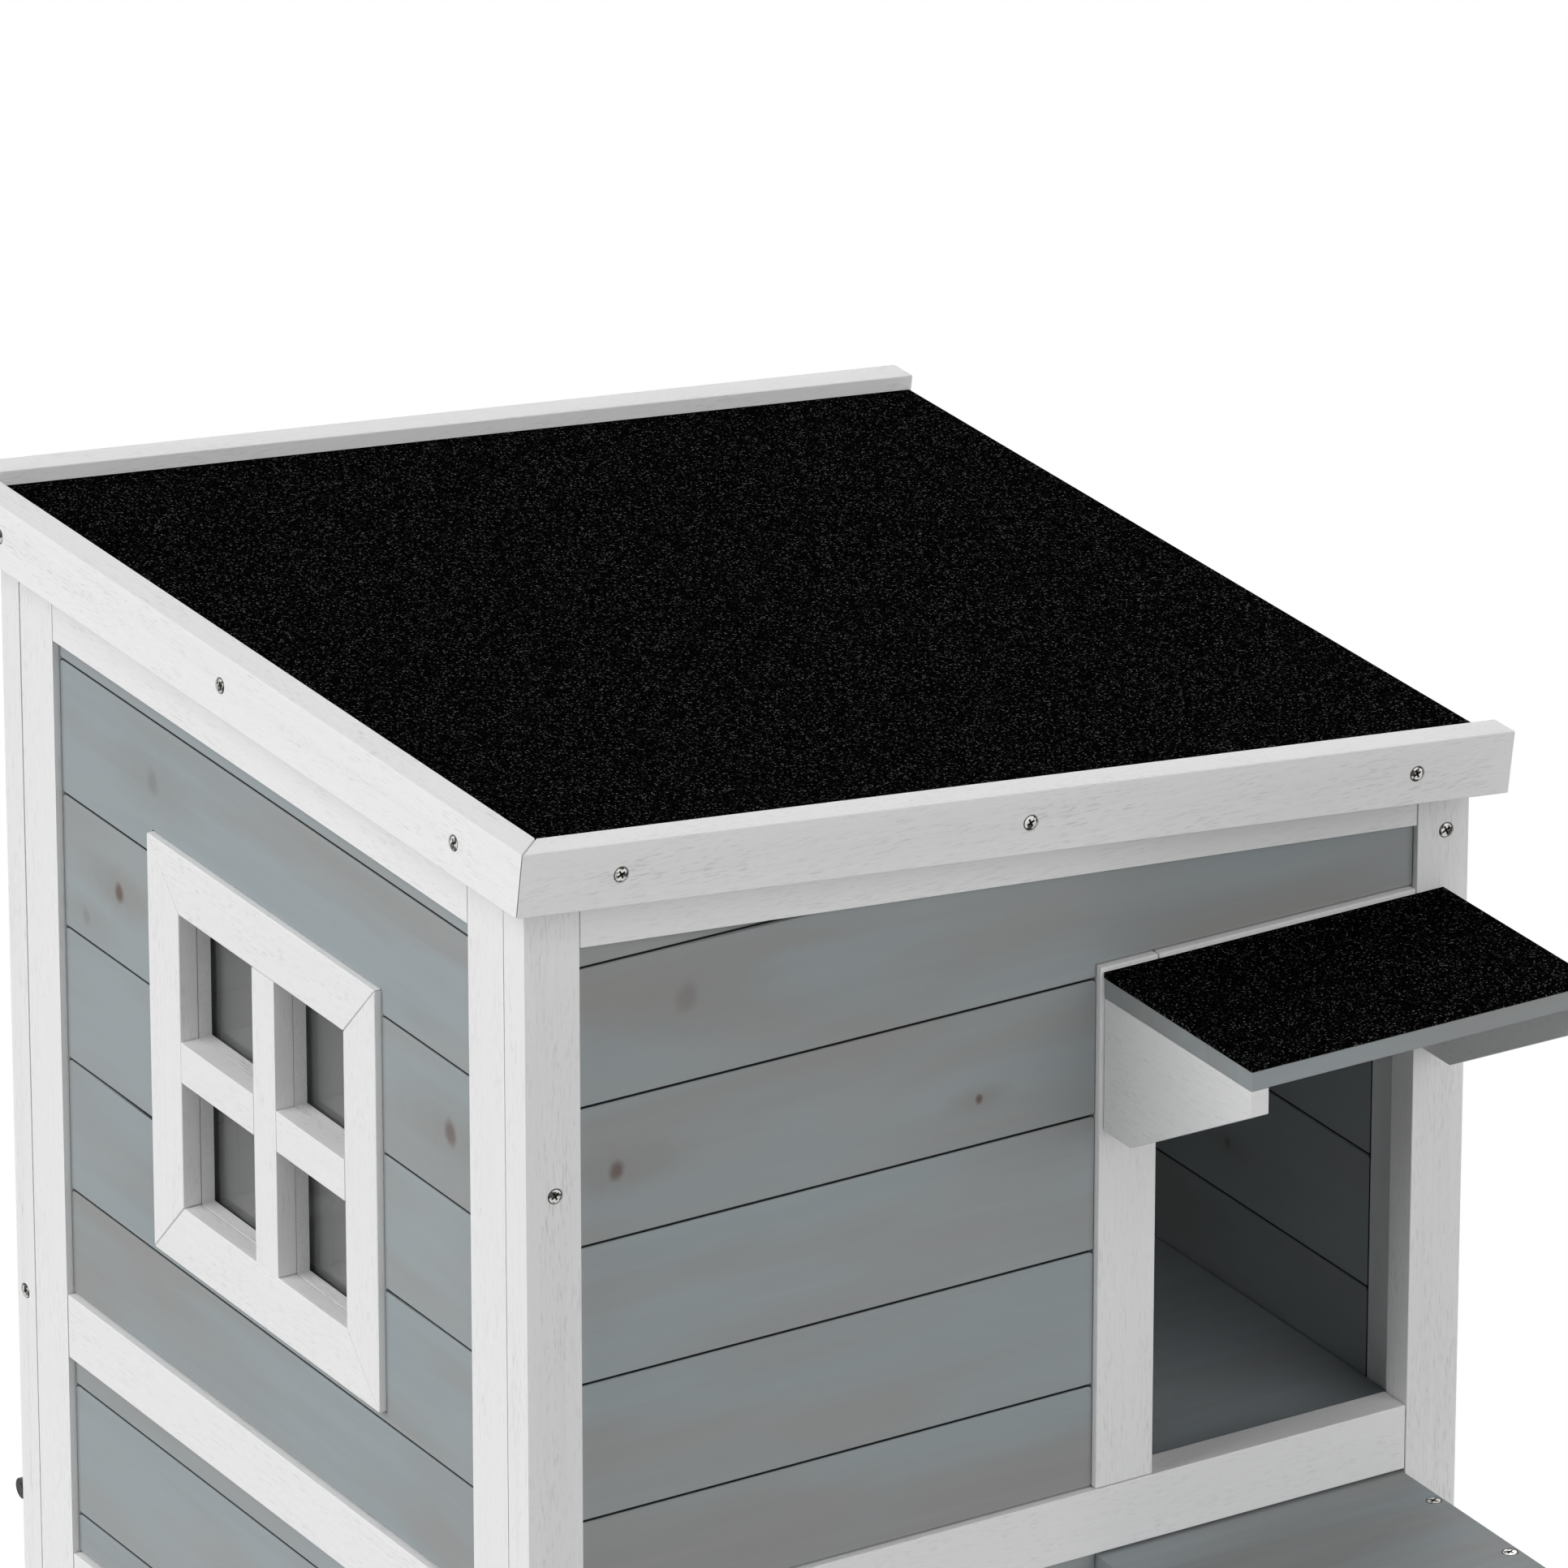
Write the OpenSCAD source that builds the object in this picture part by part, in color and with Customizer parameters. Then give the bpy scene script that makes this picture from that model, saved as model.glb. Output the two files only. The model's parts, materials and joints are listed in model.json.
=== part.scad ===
// Two-storey timber cat house: framed and boarded walls, a mitred four-light window,
// a front doorway with an awning and a landing platform, a lower doorway, a felted
// lid roof on hinges and a bolted back door. Millimetres, +Z up.

/* [Body] */
// Width of the house across the front, over the frames
body_w = 551; // [500:1:640]
// Depth of the house from the front face to the back face
body_d = 527.5; // [480:0.5:620]
// Fall of the roof from the left side to the right side, in degrees
roof_slope = 6.26; // [4.5:0.01:7.5]
// Fall of the lower edge of the front and back top rails, in degrees
rail_slope = 5.35; // [4.0:0.01:6.2]

/* [Storeys] */
// Height of the legs below the bottom rails
leg_h = 30; // [15:1:60]
// Clear height of the lower doorway in the left wall
low_open_h = 217; // [180:1:240]
// Height of the boards between the lower header rail and the middle rail
skirt_h = 113.2; // [90:0.1:150]
// Clear height from the middle rail to the top rail on the high side
upper_h = 367.2; // [350:0.1:420]
// Height of the top rails of the side walls at their outer faces
top_rail_h = 35.9; // [30:0.1:45]

/* [Timber] */
// Thickness of the frame timber
timber_t = 20; // [18:0.5:24]
// Width of the corner stiles of the front and back walls
post_w = 31.5; // [30:0.5:38]
// Width of the stiles of the side walls, the doorways and the back door
stile_w = 34.5; // [30:0.5:40]
// Height of the rails
rail_h = 36.6; // [32:0.1:42]

/* [Boards] */
// Height of one wall board from groove to groove
board_pitch = 74.5; // [60:0.5:90]
// Depth of the board faces behind the frame faces
board_recess = 4; // [3:0.1:5]
// Rounding of the long edges of a board's faces
board_round = 1.2; // [0.8:0.1:2.1]
// Open joint between the faces of two boards
board_slit = 0.7; // [0.4:0.1:1]
// Radius of the corners of a board's faces
board_corner = 2; // [1:0.1:3]
// Height of the lowest upper board of the left wall
side_first = 59.4; // [40:0.1:70]
// Height of the lowest board of the right wall
right_first = 72.2; // [60:0.1:74]
// Height of the lowest upper board of the front and back walls
front_first = 57.1; // [40:0.1:70]
// Height of the lowest board above the lower header rail
skirt_first = 22.8; // [15:0.1:60]
// Thickness of the tongues
tongue_t = 2.2; // [1.8:0.1:2.3]
// Length of the tongues
tongue_l = 4; // [3:0.1:5]

/* [Front doorway] */
// Width of the front doorway
door_w = 154; // [140:1:180]
// Height of the front doorway above the middle rail
door_h = 251; // [225:1:262]

/* [Lower doorway] */
// Width of the lower doorway in the left wall
low_door_w = 154; // [130:1:200]

/* [Window] */
// Outer size of the square window casing
window_size = 231; // [200:1:250]
// Centre of the window along the left wall, from the front face
window_y = 262.1; // [245:0.1:280]
// Centre of the window above the middle rail
window_z = 181.1; // [165:0.1:195]
// Width of the front and back casing bars
casing_side_w = 32.2; // [28:0.1:38]
// Width of the top and bottom casing bars
casing_top_w = 34; // [28:0.1:38]
// Width of the glazing bars
muntin_w = 22.7; // [16:0.1:28]
// Shift of the upright glazing bar towards the front
muntin_shift = 2.9; // [0:0.1:6]
// Thickness of the window casing
casing_t = 11; // [10:0.1:12]
// Thickness of the inner window frame
inner_t = 7.6; // [6:0.1:8]
// Thickness of the seal between the inner frame and the pane
seal_t = 3; // [2:0.1:4]
// Width of the seal
seal_w = 5; // [4:0.1:8]
// Distance of the seal back from the edge of the frame opening
seal_inset = 2; // [1:0.1:4]
// Thickness of the window pane
pane_t = 2; // [1.5:0.1:3]

/* [Awning] */
// Width of the awning
awning_w = 202.7; // [190:0.1:208]
// Depth of the awning from the front face
awning_d = 133.5; // [110:0.5:160]
// Thickness of the awning board
awning_t = 10.8; // [9:0.1:14]
// Height of the underside of the awning board above the middle rail
awning_z = 271.1; // [266:0.1:276]
// Distance of the awning's left end from the doorway stile's left edge
awning_in = 2; // [0:0.1:3]
// Height of the brackets at the wall
bracket_rear_h = 73; // [60:0.5:85]
// Length of the flat foot of the brackets
bracket_foot = 25; // [18:0.5:32]
// Height of the brackets at their front ends
bracket_tip_h = 14.5; // [10:0.5:20]
// Thickness of the brackets
bracket_t = 11.5; // [10:0.1:14]
// Distance of the brackets' front ends behind the front edge of their board
bracket_back = 1; // [0:0.5:6]

/* [Platform] */
// Depth of the platform from the front face
platform_d = 145; // [135:1:170]
// Thickness of the platform board
platform_t = 10.8; // [9:0.1:14]
// Gap between the middle rail and the top of the platform
platform_drop = 1.1; // [0.6:0.1:2]
// Distance of the first platform screws from the front face
platform_screw_y = 35; // [20:0.5:45]
// Distance between the platform screws of one side
platform_screw_step = 69; // [50:0.5:80]

/* [Floors] */
// Thickness of the floor panels
floor_t = 9; // [6:0.5:12]
// Depth of each floor's top below the top of the rails round it
floor_drop = 8.3; // [2:0.1:9]
// Width and height of the cleats that carry the floors
cleat = 18; // [12:0.5:20]

/* [Roof] */
// Overhang of the roof past the front and back walls
roof_over = 29.7; // [24:0.1:34]
// Reach of the roof past the left wall, along the slope
roof_left = 21.8; // [20.5:0.1:26]
// Reach of the front and back fascias past the right wall, along the slope
roof_right = 2.9; // [2.4:0.1:4]
// Thickness of the fascia boards
fascia_t = 19; // [15:0.5:20]
// Height of the fascia lip above the felt
lip_h = 8; // [5:0.5:12]
// Thickness of the roof deck
deck_t = 9; // [7:0.5:12]
// Thickness of the battens under the deck
batten_t = 13.5; // [13:0.5:16]
// Width of the battens
batten_w = 35; // [32:1:45]
// Thickness of the felt on the roof and on the awning
felt_t = 3; // [2:0.1:4]
// Set-back of the felt and the deck from the right ends of the fascias
felt_back = 2; // [1:0.1:3]
// Distance of the front and back fascia screws from the ends of the fascia
fascia_screw_in = 57.6; // [40:0.1:90]
// Distance of the middle front and back fascia screws from the left wall
fascia_screw_mid = 270.3; // [220:0.1:320]
// Distance of the fascia screws below the middle of the roof deck's edge
fascia_screw_drop = 1.3; // [0:0.1:1.5]
// Distance of the first left fascia screw from the front end of the fascia
side_screw_in = 62.9; // [40:0.1:90]
// Distance between the left fascia screws
side_screw_step = 229.1; // [180:0.1:240]

/* [Screws] */
// Radius of the wood screw heads
screw_r = 4; // [3.5:0.1:4.5]
// Radius of the wood screw shanks
shank_r = 1.8; // [1.5:0.1:2]
// Length of the wood screws
screw_l = 34; // [30:1:38]
// Length of the screws through the corner stiles into the rails
long_screw_l = 50; // [45:1:60]
// Distance of the left front screws from the left face
screw_left_x = 16.8; // [8:0.1:17]
// Distance of the right front and the back screws from the nearest side face
screw_right_x = 14; // [8:0.1:16]
// Height of the upper left front screw and the upper back screws above the middle rail
screw_left_z = 239; // [200:1:270]
// Height of the upper right front screw above the middle rail
screw_right_z = 315.5; // [292:0.5:320]
// Height of the lower screws of the front and back faces above the ground
screw_low_z = 200; // [120:1:260]
// Distance of the edge screws from the front face and from the back face
edge_screw_in = 8.3; // [6:0.1:12]
// Height of the edge screws above the lower edges of the rails
edge_screw_z = 19.6; // [12:0.1:24]
// Radius of the small screw heads of the hinges and the bolt
small_r = 2.4; // [2.2:0.1:2.6]
// Length of the small screws
small_l = 12; // [10:0.5:15]

/* [Hinges] */
// Length of a hinge along its pin
hinge_l = 50; // [40:1:60]
// Width of each leaf of the back door hinges from the pin
door_leaf_w = 20; // [16:0.5:22]
// Width of the fixed leaf of the roof hinges from the pin
roof_leaf_low = 18; // [14:0.5:22]
// Width of the moving leaf of the roof hinges from the pin
roof_leaf_up = 12.5; // [12:0.1:13]
// Distance of each roof hinge's centre from the front and back faces
roof_hinge_in = 95; // [70:1:130]
// Distance of each door hinge's centre from the door's top and bottom
door_hinge_in = 70; // [50:1:100]
// Thickness of the hinge leaves
leaf_t = 1.5; // [1.2:0.1:1.8]
// Outer radius of the hinge knuckles
knuckle_r = 2.6; // [2.4:0.1:2.8]
// Radius of the hinge pins
pin_r = 1.3; // [1.1:0.1:1.5]
// Gap between the back door and its frame
door_gap = 1.2; // [1:0.1:2]

/* [Bolt] */
// Height of the bolt above the ground
bolt_z = 333; // [280:1:380]
// Radius of the bolt's guides
guide_r = 5.7; // [5.5:0.1:6]
// Height of the centre of that radius above the wall face
guide_off = 3.6; // [3.4:0.1:3.9]
// Radius of the sliding rod
rod_r = 2.7; // [2.4:0.05:2.75]
// Thickness of the bolt's plates
bolt_plate_t = 1; // [0.8:0.1:1.1]
// Height of the bolt's plates
bolt_plate_h = 20; // [18:0.5:26]
// Distance of the rear guide from the left face
guide_in = 1.2; // [1:0.1:2]
// Length of the rear guide
guide_l = 12; // [10:0.5:12.5]
// Length of the keeper
keeper_l = 4.5; // [3.5:0.1:5]
// Width of the square opening in the keeper
keeper_hole = 6; // [5.9:0.05:6.2]
// Extra radius of the keeper over the guides
keeper_more_r = 0.6; // [0.5:0.1:0.8]
// Travel of the rod from open to shut
bolt_travel = 8; // [7.5:0.1:8.5]

/* [Hidden] */

// Clearance between pieces of different bodies
gap = 0.3;
// Clearance between pieces that fit into each other
fit = 0.15;
// Clearance round a hinge pin or the bolt rod
run = 0.06;
// Length by which a cut runs past the face that it opens
past = 1;
// Segments of a rounded board edge
round_n = 4;
// Depth of the grooves for the tongues
groove_l = tongue_l + 0.5;
// The boards are flush with the inner faces of the frames
board_t = timber_t - board_recess;
// Middle of a board's thickness, behind the frame face
tongue_y = board_recess + board_t / 2;
// Lowest row of boards that is cut as a row of its own
row_min = 8;
// Depth of the screw heads below the face
sink = 0.3;
// Half width, half length and depth of a screw's cross slots, as shares of its head
slot_w = 0.13;
slot_l = 0.6;
slot_d = 0.4;
// Turn of the cross slots
slot_turn = 25;

low_rail_top = leg_h + rail_h;
header_low = low_rail_top + low_open_h;
header_top = header_low + rail_h;
mid_low = header_top + skirt_h;
mid_top = mid_low + rail_h;
upper_top = mid_top + upper_h;
high_top = upper_top + top_rail_h;
right_top = high_top - body_w * tan(roof_slope) - top_rail_h;

// The lower boards of the plain walls line up with those of the left wall
plain_first = (header_top + skirt_first - low_rail_top) % board_pitch;

// The side walls stand between the front and the back wall
side_0 = timber_t;
side_1 = body_d - timber_t;
side_in_0 = side_0 + stile_w;
side_in_1 = side_1 - stile_w;
right_post_x = body_w - post_w;
door_x = right_post_x - door_w;
door_stile_x = door_x - stile_w;
head_low = mid_top + door_h;
head_top = head_low + rail_h;

win_y0 = window_y - window_size / 2;
win_y1 = window_y + window_size / 2;
win_z0 = mid_top + window_z - window_size / 2;
win_z1 = mid_top + window_z + window_size / 2;
light_y0 = win_y0 + casing_side_w;
light_y1 = win_y1 - casing_side_w;
light_z0 = win_z0 + casing_top_w;
light_z1 = win_z1 - casing_top_w;
muntin_y = window_y - muntin_shift;
muntin_z = mid_top + window_z;

low_door_0 = window_y - low_door_w / 2;
low_door_1 = window_y + low_door_w / 2;

awning_x = door_stile_x + awning_in;
awning_low = mid_top + awning_z;
platform_x0 = awning_x;
platform_x1 = right_post_x - gap;
platform_top = mid_low - platform_drop;

upper_floor_top = mid_top - floor_drop;
lower_floor_top = low_rail_top - floor_drop;

fascia_h = batten_t + deck_t + felt_t + lip_h;
roof_y0 = -roof_over;
roof_y1 = body_d + roof_over;
roof_s0 = -roof_left;
roof_s1 = body_w / cos(roof_slope) + roof_right;
deck_s0 = roof_s0 + fascia_t;
deck_s1 = roof_s1 - felt_back;
deck_y0 = roof_y0 + fascia_t;
deck_y1 = roof_y1 - fascia_t;
fascia_screw_z = batten_t + deck_t / 2 - fascia_screw_drop;

// A hinge pin stands off the face that its leaves lie on
pin_off = knuckle_r + gap;
roof_pin_x = body_w + pin_off;
roof_pin_z = high_top - body_w * tan(roof_slope);
roof_hinge_ys = [roof_hinge_in, body_d - roof_hinge_in];
batten_s1 = roof_pin_x * cos(roof_slope) + body_w * tan(roof_slope) * sin(roof_slope)
    - pin_off;
knuckle_l = (hinge_l - 2 * gap) / 3;
hinge_screw_z = hinge_l * 0.3;
// The upper right front screw stays below the roof
screw_right_top = min(mid_top + screw_right_z, wall_top(body_w) - 2 * screw_r);
pin_head_r = knuckle_r - 0.3;
pin_head_h = 1.2;

back_x0 = post_w + door_gap;
back_x1 = right_post_x - door_gap;
back_z0 = low_rail_top + door_gap;
back_z1 = mid_low - door_gap;
door_pin_x = right_post_x - door_gap / 2;
door_hinge_zs = [back_z0 + door_hinge_in, back_z1 - door_hinge_in];

// The bolt: rear guide, room for the knob's travel, front guide, door gap, keeper
rod_off = bolt_plate_t + 2 * run + rod_r + 0.1;
guide_1 = guide_in + guide_l;
knob_r = 3;
knob_h = 4;
peg_r = 1.4;
peg_x = guide_1 + gap + peg_r;
guide_2 = peg_x + bolt_travel + peg_r + gap;
guide_3 = post_w - 0.7;
rod_0 = guide_in - 0.4;
rod_1 = post_w - 0.5;
keeper_0 = back_x0 + 1.3;
keeper_1 = keeper_0 + keeper_l;
bolt_screw_x = (guide_1 + guide_2) / 2;
bolt_screw_z = bolt_plate_h / 2 - small_r - 0.8;
keeper_screw_x = keeper_1 + small_r + 2;
keeper_plate_1 = keeper_screw_x + small_r + 1.5;

// The origin is on the ground, under the middle of the whole house
left_end = gap * sin(roof_slope) - roof_left * cos(roof_slope);
right_end = roof_s1 * cos(roof_slope) + (fascia_h + gap) * sin(roof_slope);
mid_x = (left_end + right_end) / 2;
mid_y = (roof_y1 - max(platform_d, awning_d)) / 2;

white_paint = [0.93, 0.93, 0.92];
grey_paint = [0.56, 0.60, 0.61];
felt_black = [0.13, 0.13, 0.13];
steel = [0.75, 0.74, 0.70];
black_iron = [0.12, 0.12, 0.13];
smoky_clear = [0.45, 0.47, 0.48, 0.5];

function wall_top(x) = high_top - x * tan(roof_slope);
function rail_low(x) = upper_top - (x - post_w) * tan(rail_slope);
function arc(cx, cy, r, a0, a1) = [for (i = [0 : round_n])
    [cx + r * cos(a0 + (a1 - a0) * i / round_n), cy + r * sin(a0 + (a1 - a0) * i / round_n)]];
// Edges of the rows of boards between z0 and z1, the lowest row first high
function row_edges(z0, z1, first) = let (
    start = first < row_min ? first + board_pitch : first)
    concat([z0], [for (z = [z0 + start : board_pitch : z1 - row_min]) z], [z1]);

// Places: x runs along each wall, y inwards from its outer face, z up
module place() { translate([-mid_x, -mid_y, 0]) children(); }
module on_left() { place() mirror([1, -1, 0]) children(); }
module on_right() { place() translate([body_w, 0, 0]) mirror([1, 0, 0])
    mirror([1, -1, 0]) children(); }
module on_back() { place() translate([0, body_d, 0]) mirror([0, 1, 0]) children(); }
// On the roof, x runs down the slope and z = 0 is the underside of the battens
module on_roof() { place() translate([0, 0, high_top]) rotate([0, roof_slope, 0])
    translate([0, 0, gap]) children(); }

// A flat piece t thick, from its outline in the plane of the wall
module slab(points, t) {
    translate([0, t, 0]) rotate([90, 0, 0]) linear_extrude(t) polygon(points);
}

// Everything under the plane of the wall tops
module under_roof() {
    intersection() {
        children();
        place() slab([[-past, -past], [body_w + past, -past],
            [body_w + past, wall_top(body_w + past)], [-past, wall_top(-past)]], body_d);
    }
}

module timber(u0, u1, z0, z1) {
    translate([u0, 0, z0]) cube([u1 - u0, timber_t, z1 - z0]);
}

// Grooves for the board tongues: in a rail's lower or upper edge at z, and in a
// stile's edge at u
module rail_groove(u0, u1, z, lower) {
    translate([u0, tongue_y - tongue_t / 2 - fit, lower ? z - past : z - groove_l])
        cube([u1 - u0, tongue_t + 2 * fit, groove_l + past]);
}
module stile_groove(u, z0, z1, left) {
    translate([left ? u - past : u - groove_l, tongue_y - tongue_t / 2 - fit, z0])
        cube([groove_l + past, tongue_t + 2 * fit, z1 - z0]);
}

// Section of a board: rounded edges, a tongue on top, a groove or a tongue below
function board_profile(z0, z1, foot) = let (
    f = board_recess, b = timber_t, r = board_round, h = tongue_t / 2, top = z1 - board_slit,
    e = foot ? h : h + fit, low = foot ? z0 - tongue_l : z0 + groove_l)
    concat(arc(f + r, z0 + r, r, 180, 270),
        [[tongue_y - e, z0], [tongue_y - e, low], [tongue_y + e, low], [tongue_y + e, z0]],
        arc(b - r, z0 + r, r, 270, 360), arc(b - r, top - r, r, 0, 90),
        [[tongue_y + h, top], [tongue_y + h, z1 + tongue_l],
         [tongue_y - h, z1 + tongue_l], [tongue_y - h, top]],
        arc(f + r, top - r, r, 90, 180));

// A board's outline in the plane of the wall, with round corners
module round_plate(u0, u1, z0, z1, r) {
    slab(concat(arc(u0 + r, z0 + r, r, 180, 270), arc(u1 - r, z0 + r, r, 270, 360),
        arc(u1 - r, z1 - r, r, 0, 90), arc(u0 + r, z1 - r, r, 90, 180)), timber_t + past);
}

// One board from u0 to u1, with a tongue on each end
module board(u0, u1, z0, z1, foot = false) {
    a = z0 + fit / 2;
    b = z1 - fit / 2;
    low = u0 + fit / 2;
    high = u1 - fit / 2;
    intersection() {
        translate([low, 0, 0]) rotate([90, 0, 90]) linear_extrude(high - low)
            polygon(board_profile(a, b, foot));
        union() {
            round_plate(low, high, a, b - board_slit, board_corner);
            translate([low, tongue_y - tongue_t / 2, a - tongue_l - past])
                cube([high - low, tongue_t, b - a + 2 * (tongue_l + past)]);
        }
    }
    translate([u0 - tongue_l, tongue_y - tongue_t / 2, a + groove_l])
        cube([u1 - u0 + 2 * tongue_l, tongue_t, b - a - groove_l - board_slit - board_round]);
}

// Rows of boards from z0 to z1, the lowest one first high
module board_rows(u0, u1, z0, z1, first) {
    edges = row_edges(z0, z1, first);
    for (i = [0 : len(edges) - 2]) board(u0, u1, edges[i], edges[i + 1], i == 0);
}

// Boards that end under the falling edge of a top rail, with a tongue in its groove
module under_rail() {
    u0 = post_w - tongue_l - past;
    u1 = right_post_x + tongue_l + past;
    z0 = mid_top - tongue_l - past;
    intersection() {
        children();
        union() {
            slab([[u0, z0], [u1, z0], [u1, rail_low(u1) - fit / 2],
                [u0, rail_low(u0) - fit / 2]], timber_t + past);
            translate([0, tongue_y - tongue_t / 2, 0])
                slab([[u0, z0], [u1, z0], [u1, rail_low(u1) + tongue_l],
                    [u0, rail_low(u0) + tongue_l]], tongue_t);
        }
    }
}
module falling_groove() {
    u0 = post_w - past;
    u1 = right_post_x + past;
    translate([0, tongue_y - tongue_t / 2 - fit, 0])
        slab([[u0, rail_low(u0) - past], [u1, rail_low(u1) - past],
            [u1, rail_low(u1) + groove_l], [u0, rail_low(u0) + groove_l]],
            tongue_t + 2 * fit);
}

// Countersunk cross-head screw along +Y, its head just below y = 0, or its hole
module screw(length, r = screw_r, shank = shank_r, hole = false) {
    c = hole ? fit : 0;
    top = hole ? -past : sink;
    rotate([-90, 0, 0]) difference() {
        rotate_extrude($fn = 32) polygon([[0, top], [r + c, top], [r + c, sink],
            [shank + c, sink + r - shank], [shank + c, length + c], [0, length + c]]);
        if (!hole) for (a = [0, 90]) rotate([0, 0, slot_turn + a])
            translate([-r * slot_l, -r * slot_w, sink - past])
                cube([2 * r * slot_l, 2 * r * slot_w, past + r * slot_d]);
    }
}
module small_screw(hole) { screw(small_l, small_r, small_r / 2, hole); }

// Screws through the front stiles and the back stiles into the side walls
module front_screws(hole = false) {
    place() {
        for (z = [screw_low_z, mid_top + screw_left_z])
            translate([screw_left_x, 0, z]) screw(screw_l, hole = hole);
        for (z = [screw_low_z, screw_right_top])
            translate([body_w - screw_right_x, 0, z]) screw(screw_l, hole = hole);
    }
}
module back_screws(hole = false) {
    on_back() for (x = [screw_right_x, body_w - screw_right_x],
        z = [screw_low_z, mid_top + screw_left_z])
        translate([x, 0, z]) screw(screw_l, hole = hole);
}
// Screws through the edges of the corner stiles into the ends of the rails
module edge_screws(hole = false) {
    for (y = [edge_screw_in, body_d - edge_screw_in],
        z = [leg_h + edge_screw_z, mid_low + edge_screw_z]) {
        on_left() translate([y, 0, z]) screw(long_screw_l, hole = hole);
        on_right() translate([y, 0, z]) screw(long_screw_l, hole = hole);
    }
}
module platform_screws(hole = false) {
    place() for (x = [platform_x0 + bracket_t / 2, platform_x1 - bracket_t / 2],
        y = [platform_screw_y, platform_screw_y + platform_screw_step])
        translate([x, -y, platform_top]) rotate([-90, 0, 0]) screw(screw_l, hole = hole);
}
module fascia_screws(hole = false) {
    on_roof() {
        for (s = [roof_s0 + fascia_screw_in, fascia_screw_mid, roof_s1 - fascia_screw_in]) {
            translate([s, roof_y0, fascia_screw_z]) screw(screw_l, hole = hole);
            translate([s, roof_y1, fascia_screw_z]) mirror([0, 1, 0])
                screw(screw_l, hole = hole);
        }
        for (i = [0 : 2])
            translate([roof_s0, roof_y0 + side_screw_in + i * side_screw_step, fascia_screw_z])
            rotate([0, 0, -90]) screw(screw_l, hole = hole);
    }
}

// One leaf of a butt hinge, pin along z, face at y = -pin_off, towards x = side
module leaf(side, width, middle) {
    own = middle ? [0] : [-knuckle_l - gap, knuckle_l + gap];
    near = knuckle_r + gap;
    difference() {
        union() {
            translate([side > 0 ? near : -width, -pin_off, -hinge_l / 2])
                cube([width - near, leaf_t, hinge_l]);
            for (z = own) translate([0, 0, z - knuckle_l / 2]) {
                cylinder(h = knuckle_l, r = knuckle_r, $fn = 40);
                translate([side > 0 ? 0 : -near - fit, -pin_off, 0])
                    cube([near + fit, leaf_t, knuckle_l]);
            }
        }
        cylinder(h = hinge_l + 2 * past, r = pin_r + run, center = true, $fn = 32);
        leaf_screws(side, width, true);
    }
}
module leaf_screws(side, width, hole = false) {
    for (z = [-hinge_screw_z, hinge_screw_z])
        translate([side * (width + knuckle_r + gap) / 2, leaf_t - pin_off, z])
            mirror([0, 1, 0]) small_screw(hole);
}
module pin() {
    cylinder(h = hinge_l + fit + 2 * pin_head_h, r = pin_r, center = true, $fn = 32);
    for (s = [0, 1]) mirror([0, 0, s]) translate([0, 0, (hinge_l + fit) / 2])
        cylinder(h = pin_head_h, r = pin_head_r, $fn = 32);
}

// Places of the hinges; the roof's leaves lie on two faces that meet at the slope
module door_hinges() {
    for (z = door_hinge_zs) place() translate([door_pin_x, body_d + pin_off, z]) children();
}
module roof_hinges(tilt) {
    for (y = roof_hinge_ys) place() translate([roof_pin_x, y, roof_pin_z])
        rotate([90, 90 + tilt, 0]) children();
}

// Round-backed block of the bolt from x0 to x1
module guide_block(x0, x1, r) {
    intersection() {
        translate([x0, -guide_off, 0]) rotate([0, 90, 0]) cylinder(h = x1 - x0, r = r, $fn = 48);
        translate([x0 - past, -guide_off - r - past, -r - past])
            cube([x1 - x0 + 2 * past, guide_off + r + past - bolt_plate_t / 2, 2 * (r + past)]);
    }
}
// Guide of the bolt, bored for the rod
module rod_guide(x0, x1) {
    difference() {
        guide_block(x0, x1, guide_r);
        translate([x0 - past, -rod_off, 0]) rotate([0, 90, 0])
            cylinder(h = x1 - x0 + 2 * past, r = rod_r + run, $fn = 32);
    }
}
// Strap of the keeper, with a square opening that the rod enters with some play
module keeper_strap(x0, x1) {
    difference() {
        guide_block(x0, x1, guide_r + keeper_more_r);
        translate([x0 - past, -rod_off - keeper_hole / 2, -keeper_hole / 2])
            cube([x1 - x0 + 2 * past, keeper_hole, keeper_hole]);
    }
}
module bolt_plate(x0, x1) {
    translate([x0, -bolt_plate_t, -bolt_plate_h / 2])
        cube([x1 - x0, bolt_plate_t, bolt_plate_h]);
}
module at_bolt() { on_back() translate([0, 0, bolt_z]) children(); }
module bolt_screws(hole = false) {
    at_bolt() for (s = [-1, 1]) translate([bolt_screw_x, -bolt_plate_t, s * bolt_screw_z])
        small_screw(hole);
}
module keeper_screws(hole = false) {
    at_bolt() for (s = [-1, 1]) translate([keeper_screw_x, -bolt_plate_t, s * bolt_screw_z])
        small_screw(hole);
}

// Front wall
module front_left_stile() {
    color(white_paint) under_roof() difference() {
        place() difference() {
            timber(0, post_w, 0, high_top);
            stile_groove(post_w, low_rail_top, mid_low, false);
            stile_groove(post_w, mid_top, rail_low(post_w) + groove_l, false);
        }
        front_screws(true);
        edge_screws(true);
    }
}
module front_right_stile() {
    color(white_paint) under_roof() difference() {
        place() difference() {
            timber(right_post_x, body_w, 0, high_top);
            stile_groove(right_post_x, low_rail_top, mid_low, true);
            stile_groove(right_post_x, head_top, rail_low(right_post_x) + groove_l, true);
        }
        front_screws(true);
        edge_screws(true);
    }
}
module top_rail_blank() {
    difference() {
        slab([[post_w, rail_low(post_w)], [right_post_x, rail_low(right_post_x)],
            [right_post_x, wall_top(right_post_x)], [post_w, wall_top(post_w)]], timber_t);
        falling_groove();
    }
}
module front_top_rail() {
    color(white_paint) place() top_rail_blank();
}
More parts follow.
